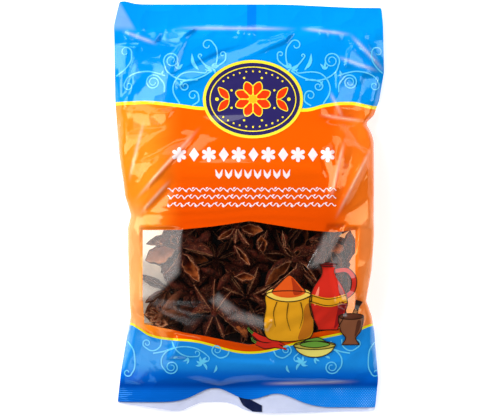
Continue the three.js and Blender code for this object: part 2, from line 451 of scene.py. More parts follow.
def glossy_print(name, is_back):
    """Gravure-printed polypropylene: a smooth glossy skin over flat, strong ink."""
    material, tree, surface = new_material(name)
    printed, between, x, y, coordinates = printed_fields(tree)
    if is_back:
        # The tube's lap seam runs down the back: its print is doubled, and a darker line along its welded
        # edge is painted shade, for the shade of that edge where it stands up.
        printed = painted(
            tree, printed, ("#FFFAEE", *white_panel(x, y)),
            ("#1A0A06", (x, -4.4, -4.2), (x, 6.2, 6), 0.16),
            ("#1A0A06", (x, 5.4, 5.7), (x, 6.5, 6.2), 0.4))
    else:
        slanted = add(tree, "Math", {0: y, 1: 0.57, 2: x}, operation="MULTIPLY_ADD")
        crease_pale_and_highlight = add(tree, "Attribute", output="Fac", attribute_name="crease")
        # Painted glints: pale dots 1.1 by 1.3 mm apart on the bottom seal, where the crimping jaws' teeth
        # catch the light, more in some places than others.
        teeth = where(tree, *(
            add(tree, "Math", {0: where(tree, value, 2 * math.pi / (pitch * MM))}, operation="SINE")
            for value, pitch in ((x, 1.1), (y, 1.3))))
        patchy = add(tree, "TexNoise", {
            "Vector": coordinates, "Scale": 1 / (11.11 * MM), "Detail": 1.0}, "Fac")
        toothed = add(tree, "Math", {0: patchy, 1: 1.6, 2: teeth}, operation="MULTIPLY_ADD")
        tooth_glints = add(tree, "MapRange", {"Value": toothed, "From Min": 1.25, "From Max": 1.6})
        # The folded lap seam shows through the top seal. The seal's left corner is painted paler, as a
        # painted highlight where it bends. Along the folds the ink has cracked into fine pale lines,
        # painted paler still as the folds' painted highlights.
        printed = painted(
            tree, printed, ("#0284F4", (x, -1.2, -0.8), (x, 3.3, 2.9), (y, 76, 81)),
            ("#C8E0FA", (slanted, -4.6, -6.8), (y, 77.6, 81.0), 0.34), ("#FFE6D2", crease_pale_and_highlight, 0.42),
            ("#A8DCFF", tooth_glints, (y, -79.5, -80.5), (x, 8, 30), 0.45))
    # The crimping jaws leave ribs 0.9 mm apart across the bottom seal, drawn a little coarser than real.
    rib_scale = 1 / (0.9 * MM) / 3.18  # a wave texture of scale 1 has 3.18 bands to the metre
    ribs = add(tree, "TexWave", {"Vector": coordinates, "Scale": rib_scale, "Distortion": 0.0}, "Fac",
               bands_direction="Y")
    uneven = add(tree, "TexNoise", {"Vector": coordinates, "Scale": 1 / (3.846 * MM), "Detail": 3.0}, "Fac")
    relief = add(tree, "Math", {0: uneven, 1: 0.25, 2: where(tree, ribs, (y, -79, -81))},
                 operation="MULTIPLY_ADD")
    ripple = add(tree, "Bump", {"Height": relief, "Strength": 0.35, "Distance": 0.18 * MM})
    # Handling leaves slack film in flat facets about 12 mm wide, which glint one by one.
    warp = add(tree, "TexNoise", {"Vector": coordinates, "Scale": 1 / (16.67 * MM), "Detail": 1.0}, "Color")
    warped = add(tree, "Mix", {0: 0.012, 4: coordinates, 5: warp}, 1, data_type="VECTOR")
    facets = add(tree, "TexVoronoi", {"Vector": warped, "Scale": 1 / (11.765 * MM)}, "Distance")
    side = add(tree, "Math", {0: x}, operation="ABSOLUTE")
    slack = add(tree, "Math", {0: where(tree, (y, 48, 60)), 1: where(tree, (side, 26, 44))},
                operation="MAXIMUM")
    ripple = add(tree, "Bump", {
        "Height": where(tree, facets, slack), "Normal": ripple, "Strength": 0.45, "Distance": 2.4 * MM})
    # The film mirrors from the ink as well as from its skin, so its highlights take the ink's tint.
    tint = painted(tree, "#70D0FF", ("#B0F0FF", (y, -76, -66)), ("#FFF0A0", between))
    tree.links.new(add(tree, "BsdfPrincipled", {
        "Base Color": printed, "Specular Tint": tint, "Normal": ripple, "Roughness": 0.09, "IOR": 1.5,
        "Coat Weight": 0.12, "Coat Roughness": 0.07, "Specular IOR Level": 0.38}), surface)
    return material


printed_film = glossy_print("printed_glossy_polypropylene", False)
printed_back = glossy_print("printed_polypropylene_with_bare_panel", True)

# The same film from inside: the ink shows through a pale backing, over the back's plain white panel.
film_inside, tree, surface = new_material("film_reverse_pale")
printed, _, x, y, coordinates = printed_fields(tree)
haze = add(tree, "TexNoise", {"Vector": coordinates, "Scale": 1 / (8.333 * MM), "Detail": 2.0}, "Fac")
tint = add(tree, "MapRange", {"Value": haze, "To Min": 0.06, "To Max": 0.2})
in_body = where(tree, (y, -80, -76))
strong = add(tree, "Math", {0: in_body, 1: 0.4, 2: tint}, operation="MULTIPLY_ADD")
pale = painted(tree, "#DCE0F4", ("#FFE9A8", in_body), (printed, strong), ("#FFFAEE", *white_panel(x, y)))
# Painted shade: under the load the inner film is painted dark brown, for the shade that the heap casts on
# it.
side = add(tree, "Math", {0: x}, operation="ABSOLUTE")
unshaded_by_heap = add(tree, "Math", {0: where(tree, (y, -76, -80)), 1: where(tree, (side, 30, 38))},
            operation="MAXIMUM")
pale = painted(tree, "#2A120C", (pale, unshaded_by_heap))
# Painted light: beside the heap the film's inner side glows by emission, for the light that the film lets
# in there, less at the lower left.
lit = add(tree, "Math", {0: where(tree, (y, -19, -26), (x, 0, -1)), 1: -0.72, 2: 1.0},
          operation="MULTIPLY_ADD")
glow = where(tree, (side, 33, 42), in_body, 0.75, lit)
creased = add(tree, "TexNoise", {"Vector": coordinates, "Scale": 1 / (18.18 * MM), "Detail": 3.0}, "Fac")
bump = add(tree, "Bump", {"Height": creased, "Strength": 0.7, "Distance": 3.0 * MM})
tree.links.new(add(tree, "BsdfPrincipled", {
    "Base Color": pale, "Emission Color": pale, "Emission Strength": glow, "Normal": bump,
    "Roughness": 0.22, "IOR": 1.5}), surface)


def give_thickness(film, inside_faces):
    """Turns a film surface into a thin shell. When inside_faces is set, its hidden side has the second
    material.
    """
    apply_modifier(film, "SOLIDIFY", thickness=FILM_THICKNESS * MM, offset=-1 if inside_faces else 1,
                   material_offset=1 if inside_faces else 0, use_rim=True)
    bpy.ops.object.mode_set(mode="EDIT")
    bpy.ops.mesh.select_mode(type="EDGE")
    bpy.ops.mesh.select_all(action="DESELECT")
    bpy.ops.mesh.edges_select_sharp(sharpness=math.radians(50))
    bpy.ops.mesh.mark_sharp()
    bpy.ops.mesh.select_mode(type="VERT")
    bpy.ops.object.mode_set(mode="OBJECT")


u, x, y = film_grid(back_bottom_edge)
back_z = np.maximum(back_height(u, x, y) + SEAL_THICKNESS / 2 - edge_gap(u), FILM_THICKNESS + 0.01)
back_film, rows_of, columns_of = film_object("back_film", np.stack([x, y, back_z], -1))
apply_modifier(back_film, "SUBSURF", levels=1, render_levels=1)
edit_all(back_film, (bpy.ops.mesh.flip_normals, {}))
back_film.data.materials.append(printed_back)
back_film.data.materials.append(film_inside)
give_thickness(back_film, True)
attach(back_film, "root")

# The folded end of the back's lap seam, which lies on the lip with its dark print up.
SEAM_END = [(-4.8, -84.0), (-2.6, -83.4), (5.6, -87.8), (5.6, -90.6), (1.4, -90.4), (-2.8, -87.8)]
bpy.ops.mesh.primitive_circle_add(vertices=len(SEAM_END), radius=10 * MM, fill_type="NGON")
seam_end = bpy.context.object
seam_end.name = seam_end.data.name = "folded_seam_end"
for vertex, (corner_x, corner_y) in zip(seam_end.data.vertices, SEAM_END):
    vertex.co = Vector((corner_x, corner_y, 0)) * MM
edit_all(seam_end, (bpy.ops.mesh.subdivide, {"number_cuts": 4}))


def surface_below(film, x, y):
    """Height of a film straight below a point, in millimetres, or None beside the film."""
    place, _, _, _ = film.ray_cast(Vector((x * MM, y * MM, 60 * MM)), Vector((0, 0, -1)))
    return place.z / MM if place else None


back_surface = BVHTree.FromObject(back_film, bpy.context.evaluated_depsgraph_get())
for vertex in seam_end.data.vertices:
    x, y = vertex.co.x / MM, vertex.co.y / MM
    fold = 0.25 * abs(math.sin(x * 0.9))
    vertex.co.z = ((surface_below(back_surface, x, y) or 2.0) + 0.12 + fold) * MM
# The same film with dark ink, crumpled at about 3 mm.
seam_print, tree, surface = new_material("dark_blue_printed_polypropylene")
coordinates = add(tree, "TexCoord", output="Object")
creased = add(tree, "TexNoise", {"Vector": coordinates, "Scale": 1 / (3.125 * MM), "Detail": 2.0}, "Fac")
bump = add(tree, "Bump", {"Height": creased, "Strength": 0.6, "Distance": 0.4 * MM})
tree.links.new(add(tree, "BsdfPrincipled", {
    "Base Color": "#06153E", "Normal": bump, "Roughness": 0.25, "IOR": 1.5}), surface)
seam_end.data.materials.append(seam_print)
apply_modifier(seam_end, "SOLIDIFY", thickness=FILM_THICKNESS * MM, offset=0)
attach(seam_end, "root")

# ------------------------------------------------------------------ front film
# The printed side. It is clear in the middle, so that the pods show, and printed all round. The film
# settles as cloth: its flat width and length are the real ones, and the load and the air hold it up.
CLOTH_SCALE = 10.0  # the cloth solver works best on things about a metre long
CLOTH_FRAMES = 26
CLOTH_SLACK = 1.012  # flat length over the bag's own
# Sharp folds that the film keeps from packing and handling: (from x, y), (to x, y), height, and the
# widths of the facets on the left and the right of that way.
FOLDS = [
    ((-57, 78.6), (-40, 72), 0.9, 2.2, 2.0), ((-34, 79.6), (22, 79.2), 0.9, 1.6, 2.6),
    ((22, 79.5), (46, 76.5), 1.0, 1.8, 3.0), ((44, 77.5), (61, 59), 1.3, 3.0, 4.0),
    ((58, 60), (38, 67), 1.0, 4.0, 2.0), ((-21, 36), (-51, 2), 1.4, 1.4, 4.5),
    ((-34, 12.5), (-48.5, -3.5), 1.3, 1.6, 4.0), ((-46, 40), (-53, 10), 0.8, 3.0, 4.0),
    ((42, 31), (35, 2), 1.4, 4.0, 2.0), ((55, 29), (37, -6), 1.2, 2.4, 1.6),
    ((52, 38), (30, 41), -1.4, 3.0, 4.0), ((35, 52), (42, 38), 1.0, 3.0, 3.0),
    ((51, -41), (40, -47), -1.2, 3.0, 3.0), ((4, -78), (50, -77), 0.7, 3.0, 2.0),
]
FOLD_RADIUS = 0.5
# The pale line along a fold is cracked ink and also a painted highlight.
CREASE_WIDTH = 0.6  # of the line in which the ink has cracked
PUCKER_HEIGHT = 0.26
# Slack film lies in flat facets: corners, counterclockwise, how much the film rises eastwards and
# northwards on each, in mm for each mm, and how wide the bend round the facet is.
FACETS = [
    # The strip down the left shoulder, the wide fan beside it, the crumple under the seal, and the
    # long band that runs down from the seal to the left.
    ([(-31.5, 72), (-59, 72), (-59, 44), (-55, 44), (-53.5, 51)], 0.15, -0.03, 1.8),
    ([(-30.5, 70.5), (-53, 50), (-54, 44.5), (-37, 44.5)], 0.29, -0.18, 5.0),
    ([(-24.5, 79), (-38, 78.5), (-41, 73.5), (-33, 71.5)], 0.33, -0.15, 1.8),
    ([(19, 77), (-13, 68.8), (-34, 58.5), (-31, 53), (-10, 62), (16, 73.5)], 0.17, -0.6, 2.2),
    # The right shoulder.
    ([(48, 74.5), (43.5, 69), (42.5, 62.5), (58.2, 58.8), (51.6, 66.4)], -0.32, -0.14, 1.8),
    ([(38.4, 61), (38.5, 46), (45, 45), (49, 54)], -0.31, -0.12, 2.6),
    ([(50.5, 58), (49, 46), (59, 46), (58, 58)], -0.12, -0.2, 2.6),
    # Beside the rows of ornament, right and left, and over the window's upper right corner.
    ([(36, 27), (30, 25), (35.5, 8), (38.5, 8)], 0.33, -0.18, 1.8),
    ([(-33.5, 43), (-52, 41), (-53, 33), (-38, 35)], 0.27, -0.26, 1.8),
    ([(53, 5), (43, -2), (45.5, -8.6), (54, -8.6)], -0.38, -0.1, 1.6),
    # On the window: its left side, a streak and a haze on the right, and a bent crease low down.
    ([(-29.5, -8.8), (-47.5, -8.8), (-47.5, -40), (-42, -40), (-30.5, -29)], 0.32, -0.12, 1.6),
    ([(41, -8), (34.5, -8), (26.5, -26), (33.5, -26)], -0.42, -0.12, 2.8),
    ([(47, -9.5), (42.5, -9.5), (35.5, -25), (39, -42), (46, -44)], -0.40, -0.12, 3.0),
    ([(-13.5, -37.5), (-17, -40.5), (-8, -48), (-5, -44.5)], 0.22, 0.4, 2.2),
    ([(-6.5, -44.5), (-9, -48), (8, -53.5), (10, -49.5)], 0.22, 0.4, 2.2),
    # The lower left corner, and the plain film beside it.
    ([(-50, -50), (-57, -76), (-53, -78), (-34, -65)], 0.22, 0.36, 1.8),
    ([(-32, -57), (-35, -66), (10, -68), (10, -62)], -0.02, 0.55, 3.0),
]
FACET_HOLD = 0.95  # how flat a facet lies
CORE_DEPTH = 0.9  # the heap's even top lies this far under the film's first shape
CORE_DROP = 5.0  # and this much deeper beyond the load
SETTLE_LIMIT = 3.0  # furthest that a point may move as it settles
CLOTH_SETTINGS = {
    "quality": 6, "mass": 0.1, "tension_stiffness": 80, "compression_stiffness": 80, "shear_stiffness": 40,
    "bending_stiffness": 2.0, "tension_damping": 10, "compression_damping": 10, "shear_damping": 10,
    "air_damping": 4, "vertex_group_mass": "held", "use_pressure": True, "uniform_pressure_force": 1.0,
}

u, x, y = film_grid(front_bottom_edge)
pressed = SEAL_THICKNESS / 2 - edge_gap(u)
free = slack_share(y) * smooth(np.minimum(u, 1 - u) * 12)
front_points = np.stack([x, y, front_height(u, x, y) - pressed * (1 - free)], -1)
front_film, rows_of, columns_of = film_object("front_film_whole", front_points)


def heap_core():
    """A smooth stand-in for the load, which the film settles on."""
    spacing = 2.0
    x, y = np.meshgrid(np.arange(-HALF_WIDTH, HALF_WIDTH + 1, spacing),
                       np.arange(-HALF_LENGTH, HALF_LENGTH, spacing))
    top = front_height(film_share(x, y), x, y) - CORE_DEPTH - 6 * (1 - slack_share(y))
    heap, _, _ = film_object("heap_core", np.stack([x, y, top - CORE_DROP * (1 - fill_share(y))], -1))
    heap.data.transform(Matrix.Scale(CLOTH_SCALE, 4))
    only(heap)
    bpy.ops.object.modifier_add(type="COLLISION")
    heap.collision.thickness_outer = 0.003
    heap.collision.cloth_friction = 5
    return heap


def settle_film(film, rest, held):
    """Lets the film settle as cloth over the heap. rest is its flat shape and held its fixed points."""
    film.data.transform(Matrix.Scale(CLOTH_SCALE, 4))
    film.shape_key_add(name="Basis")
    flat = film.shape_key_add(name="flat")
    flat.data.foreach_set("co", (rest * MM * CLOTH_SCALE).ravel())
    pins = film.vertex_groups.new(name="held")
    pins.add([int(k) for k in np.flatnonzero(held)], 1.0, "REPLACE")
    cloth = film.modifiers.new("cloth", "CLOTH")
    for setting, value in CLOTH_SETTINGS.items():
        setattr(cloth.settings, setting, value)
    cloth.settings.rest_shape_key = flat
    cloth.settings.effector_weights.gravity = 0
    cloth.collision_settings.distance_min = 0.004
    heap = heap_core()
    scene.frame_start = 1
    scene.frame_end = CLOTH_FRAMES
    for frame_number in range(1, CLOTH_FRAMES + 1):
        scene.frame_set(frame_number)
    settled = np.empty(len(film.data.vertices) * 3)
    shown = film.evaluated_get(bpy.context.evaluated_depsgraph_get())
    shown.data.vertices.foreach_get("co", settled)
    film.modifiers.remove(cloth)
    film.shape_key_clear()
    bpy.data.objects.remove(heap)
    scene.frame_set(1)
    return settled.reshape(-1, 3) / CLOTH_SCALE / MM


def fold_relief(x, y):
    """Height of the sharp folds, and how near each point is to a fold's line. Each fold is a tent with
    a narrow ridge, and a facet of its own width on each side, which fades out at both ends."""
    total, crease = np.zeros_like(x), np.zeros_like(x)
    for (from_x, from_y), (to_x, to_y), height, left_width, right_width in FOLDS:
        dx, dy = to_x - from_x, to_y - from_y
        length = math.hypot(dx, dy)
        along = ((x - from_x) * dx + (y - from_y) * dy) / length ** 2
        off = ((y - from_y) * dx - (x - from_x) * dy) / length  # positive to the left of the way
        width = np.where(off > 0, left_width, right_width)
        rounded = np.sqrt(off ** 2 + FOLD_RADIUS ** 2) - FOLD_RADIUS
        ends = smooth(np.minimum(along, 1 - along) * 3)
        total += height * np.maximum(1 - rounded / width, 0) * ends
        crease = np.maximum(crease, bell(off / CREASE_WIDTH) * ends)
    return total, crease


def lay_facets(x, y, z, free):
    """The film's heights with its facets laid flat, and how far each point belongs to a facet."""
    share = np.zeros_like(x)
    for corners, rise_x, rise_y, edge in FACETS:
        inside = np.full(len(x), 1e9)
        for (from_x, from_y), (to_x, to_y) in zip(corners, corners[1:] + corners[:1]):
            dx, dy = to_x - from_x, to_y - from_y
            inside = np.minimum(inside, (dx * (y - from_y) - dy * (x - from_x)) / math.hypot(dx, dy))
        mask = smooth(inside / edge + 0.5) * free
        plane = rise_x * x + rise_y * y
        plane += (mask * (z - plane)).sum() / mask.sum()
        z = z + mask * FACET_HOLD * (plane - z)
        share = np.maximum(share, mask)
    return z, share


def puckers(x, y):
    """The small scallops that run out of the top seal, where the film starts to bulge."""
    wave = np.sin(x / 1.15 + 2.2 * np.sin(x / 7) + 0.5 * np.sin(x / 2.7))
    return PUCKER_HEIGHT * wave * bell((y - HALF_LENGTH + TOP_SEAL_DEPTH + 3.4 + 1.2 * np.sin(x / 6)) / 2.2)


def mark_points(mesh, marks):
    """Gives a mesh's points their named values, for its material to read."""
    for name, values in marks.items():
        mesh.attributes.new(name, "FLOAT", "POINT").data.foreach_set("value", values.astype(np.float32))


def sharpen(film):
    """Adds the sharp folds, the puckers and the facets to the settled film."""
    places = np.empty(len(film.data.vertices) * 3)
    film.data.vertices.foreach_get("co", places)
    x, y, z = places.reshape(-1, 3).T / MM
    share = film_share(x, y)
    free = smooth(np.minimum(share, 1 - share) * 25) * smooth((y + HALF_LENGTH - BOTTOM_SEAL_DEPTH) / 6)
    folds, crease = fold_relief(x, y)
    folds = folds * free
    z, flat_share = lay_facets(x, y, z + (folds + puckers(x, y) * free), free)
    film.data.vertices.foreach_set("co", (np.stack([x, y, z], -1) * MM).ravel())
    scuff = np.clip(folds / 0.7 + flat_share * 0.08, 0, 1)  # folding has scuffed the film
    mark_points(film.data, {"scuff": scuff, "crease": crease, "haze": flat_share})
    film.data.update()


base = front_points[rows_of, columns_of]
seal_band = base[:, 1] > HALF_LENGTH - TOP_SEAL_DEPTH
seal_band |= base[:, 1] < -HALF_LENGTH + BOTTOM_SEAL_DEPTH - 1
side_fold = (columns_of == 0) | (columns_of == sum(COLUMN_SHARES))
flat_u = u[rows_of, columns_of]
rest = np.stack([(flat_u - 0.5) * BAG_WIDTH, base[:, 1] * CLOTH_SLACK, np.zeros(len(base))], -1)
settled = settle_film(front_film, rest, seal_band | side_fold)
moved = settled - base
far = np.linalg.norm(moved, axis=1)
settled = base + moved * (np.minimum(far, SETTLE_LIMIT) / np.maximum(far, 1e-9))[:, None]
front_film.data.vertices.foreach_set("co", (settled * MM).ravel())
front_film.data.update()

below, along, _ = ROW_SHARES
beside, across, _ = COLUMN_SHARES
for polygon in front_film.data.polygons:
    row = min(rows_of[k] for k in polygon.vertices) - below
    column = min(columns_of[k] for k in polygon.vertices) - beside
    polygon.material_index = int(0 <= row < along and 0 <= column < across)

# The window's film is clear: it only shows by what it mirrors, duller where folds have scuffed it, and by a
# milky haze on the parts laid flat, a painted sheen that stands for the lamps' reflection there.
SHEEN_HAZE = 0.075  # how much of the light a bent part of the window scatters
clear_film, tree, surface = new_material("clear_polypropylene")
scuff, bent = [add(tree, "Attribute", output="Fac", attribute_name=mark) for mark in ("scuff", "haze")]
dullness = add(tree, "MapRange", {"Value": scuff, "To Min": 0.17, "To Max": 0.3})
spread = add(tree, "MapRange", {"Value": scuff, "To Min": 0.4, "To Max": 1.3})
dulled = add(tree, "MapRange", {"Value": bent, "To Min": 1.0, "To Max": 0.4})
backfacing = add(tree, "NewGeometry", output="Backfacing")
outer_side = add(tree, "Math", {0: 1.0, 1: backfacing}, operation="SUBTRACT")
mirrored_share = where(tree, add(tree, "Fresnel", {"IOR": 1.52}), outer_side, spread, dulled)
clear = add(tree, "MixShader", {
    0: mirrored_share, 1: add(tree, "BsdfTransparent", {"Color": "#FCFCFC"}),
    2: add(tree, "BsdfGlossy", {"Roughness": dullness, "Color": "#FFFFFF"})})
milky_sheen = add(tree, "BsdfDiffuse", {"Color": "#F8F1ED"})
tree.links.new(add(tree, "MixShader", {0: where(tree, bent, SHEEN_HAZE), 1: clear, 2: milky_sheen}), surface)

front_film.data.materials.append(printed_film)
front_film.data.materials.append(clear_film)
apply_modifier(front_film, "SUBSURF", levels=1, render_levels=1)
sharpen(front_film)
film_surface = BVHTree.FromObject(front_film, bpy.context.evaluated_depsgraph_get())
edit_all(front_film, (bpy.ops.mesh.separate, {"type": "MATERIAL"}))
films = {bool(o.data.materials[0] is clear_film): o for o in bpy.context.selected_objects}
window_film, printed_front = films[True], films[False]
window_film.name, printed_front.name = "window_film", "printed_front_film"
printed_front.data.materials.append(film_inside)
give_thickness(printed_front, True)
give_thickness(window_film, False)
for piece in (printed_front, window_film):
    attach(piece, "root")
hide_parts("window_bag")

# ------------------------------------------------------------------ star anise
# Each pod is the dried fruit of a tree: about eight boat-shaped carpels round a short column. They
# are woody and wrinkled, nearly black outside, smooth and fox brown inside, with a pale split edge.
HEAP_STATIONS, VIEW_STATIONS = 13, 27  # rings along a carpel deep in the heap, and under the window
CARPEL_WALL = 0.55
WALL_HEIGHTS = np.array([1, 0.95, 0.72, 0.42, 0.15, 0, 0.15, 0.42, 0.72, 0.95, 1])
WALL_SIDES = np.sign(np.linspace(-1, 1, len(WALL_HEIGHTS)))
COLUMN_PROFILE = [(0.0, 0.6), (1.2, 0.4), (1.6, -0.8), (1.3, -3.2), (0.8, -4.4), (0.0, -4.6)]


def wall_offset(height, bulge, slot):
    """Half width of a carpel at a share of its height: a hull that closes in to the split."""
    return bulge * 1.32 * height ** 0.5 * np.maximum(1 - height, 0) ** 0.32 + slot * height ** 3


def tube_faces(rows, ring):
    """Quads between closed rings of points, and a cap on each end."""
    quads = []
    for a in range(0, (rows - 1) * ring, ring):
        for k in range(ring):
            after = (k + 1) % ring
            quads.append((a + k, a + ring + k, a + ring + after, a + after))
    last = (rows - 1) * ring
    return quads + [tuple(range(ring)), tuple(range(last + ring - 1, last - 1, -1))]


def carpel(length, width, depth, gape, beak, twist, random, stations):
    """One carpel along +X with its split up: points, faces, and how far each point is lip and inside."""
    share = np.linspace(0, 1, stations)[:, None]
    a, b, c = random.uniform(0, 2 * np.pi, 3)
    height, side = WALL_HEIGHTS[None, :], WALL_SIDES[None, :]
    # The hull bulges most in the middle, and its keel runs deepest there.
    fullness = np.sin(np.pi * (0.05 + 0.925 * share))
    uneven = 1 + 0.1 * np.sin(8 * share + c) + 0.07 * np.sin(15 * share + a)
    bulge = width / 2 * fullness ** 0.85 * uneven
    keel = depth * np.sin(np.pi * (0.14 + 0.845 * share)) ** 0.8
    # The split gapes unevenly, and the rim beside it rises to the beak at the tip.
    slot = gape * width / 2 * np.sin(np.pi * np.clip((share - 0.1) / 0.88, 0, 1)) ** 0.75
    uneven = 1 + 0.14 * np.sin(13 * share + b + 2 * side) + 0.08 * np.sin(29 * share + a - side)
    slot = slot * uneven + 0.05
    rim = -1.2 * (1 - share) ** 2 + beak * share ** 3.5
    rim = rim + (0.16 * np.sin(21 * share + c) + 0.1 * np.sin(39 * share + b)) * fullness
    # The outside is wrinkled, more towards the keel.
    wrinkle = (0.26 * np.sin(17 * share + 9 * height * side + a)
               + 0.2 * np.sin(31 * share - 6 * height + b)
               + 0.13 * np.sin(47 * share + 13 * height * side + c))
    outer_y = side * (wall_offset(height, bulge, slot) + wrinkle * (1 - height) * height * 3 * fullness)
    outer_z = rim - keel * (1 - height) + wrinkle * (1 - height) * fullness * 0.6
    # The inside is smooth, and lies in the hull by the wall's thickness.
    inner_height = height[:, 1:-1]
    inner_slot = np.maximum(slot[:, 1:-1] - CARPEL_WALL * 0.45, 0.02)
    inner_bulge = np.maximum(bulge - CARPEL_WALL, 0.04)
    inner_keel = np.maximum(keel - CARPEL_WALL * 1.3, 0.05)
    inner_y = (side[:, 1:-1] * wall_offset(inner_height, inner_bulge, inner_slot))[:, ::-1]
    inner_z = (rim - inner_keel * (1 - inner_height) - 0.12)[:, ::-1]
    # A ring of points runs down the outside, over one lip, through the inside and over the other lip.
    lip_z = rim + 0.2 * fullness
    lip_east, lip_west = slot[:, -1:] - 0.14, 0.14 - slot[:, :1]
    bend = twist * share ** 2 * length * 0.12
    across = np.concatenate([outer_y, lip_east, inner_y, lip_west], 1) + bend
    up = np.concatenate([outer_z, lip_z, inner_z, lip_z], 1)
    ring = across.shape[1]
    out = np.repeat(0.9 + share * (length - 0.9), ring, 1)
    points = np.stack([out, across, up], -1).reshape(-1, 3)
    outside = len(WALL_HEIGHTS)
    lip, inside = np.zeros(ring), np.zeros(ring)
    lip[[0, outside - 1]] = 0.72
    lip[[outside, ring - 1]] = 1.0
    inside[outside + 1:-1] = 1.0
    return points, tube_faces(stations, ring), np.tile(lip, stations), np.tile(inside, stations)


def lathe(profile, ring):
    """A closed turned shape from (radius, height) pairs."""
    turn = np.arange(ring) * 2 * np.pi / ring
    points = np.concatenate([
        np.stack([max(r, 0.02) * np.cos(turn), max(r, 0.02) * np.sin(turn), np.full(ring, z)], -1)
        for r, z in profile
    ])
    return points, tube_faces(len(profile), ring), np.zeros(len(points)), np.zeros(len(points))


def stalk(length, bend, random):
    """The curved stalk under some pods: a tapered rod that hangs from the column and bends away."""
    steps, ring = 8, 7
    share = np.linspace(0, 1, steps)
    turn = np.arange(ring) * 2 * np.pi / ring
    radius = 0.75 + 0.5 * share ** 3 + 0.08 * random.normal(size=steps)
    points = np.stack([
        ((bend * share ** 2)[:, None] + radius[:, None] * np.cos(turn)).ravel(),
        (radius[:, None] * np.sin(turn)).ravel(),
        np.repeat(-4.2 - length * share, ring),
    ], -1)
    return points, tube_faces(steps, ring), np.full(len(points), 0.15), np.zeros(len(points))


def turn_matrix(axis, degrees):
    return np.array(Matrix.Rotation(math.radians(degrees), 3, axis))


def joined(parts):
    """Several (points, faces, marks...) sets as one."""
    points, face_sets, *marks = zip(*parts)
    faces, first = [], 0
    for part_points, part_faces in zip(points, face_sets):
        faces += [tuple(first + k for k in face) for face in part_faces]
        first += len(part_points)
    return np.concatenate(points), faces, *(np.concatenate(mark) for mark in marks)


def carpel_turn(angle, roll, rise):
    """Turns a carpel: roll about its own length, its tip up by rise, and round to its angle."""
    return turn_matrix("Z", angle) @ turn_matrix("Y", -rise) @ turn_matrix("X", roll)


def pod(seed, carpels, stalk_length=0, column=True, stations=HEAP_STATIONS):
    """A pod of carpels (angle, length, width, depth, gape, roll, rise), with its column and stalk."""
    random = np.random.default_rng(seed)
    parts = [lathe(COLUMN_PROFILE, 9)] if column else []
    for angle, length, width, depth, gape, roll, rise in carpels:
        points, faces, lip, inside = carpel(
            length, width, depth, gape, random.uniform(0.6, 2.4), random.uniform(-1, 1), random, stations)
        parts.append((points @ carpel_turn(angle, roll, rise).T, faces, lip, inside))
    if stalk_length:
        parts.append(stalk(stalk_length, random.uniform(2, 5), random))
    return joined(parts)


def grown(seed, gapes, count, size):
    """Carpels of an ordinary pod, whole or broken, with gapes as the range of their splits."""
    random = np.random.default_rng(seed)
    carpels = []
    for k in range(count):
        length = size * random.uniform(0.78, 1.06)
        carpels.append((45 * k + random.normal(0, 5), length, length * random.uniform(0.34, 0.46),
                        length * random.uniform(0.42, 0.55), random.uniform(*gapes), random.normal(0, 8),
                        random.normal(-3, 6)))
    return carpels


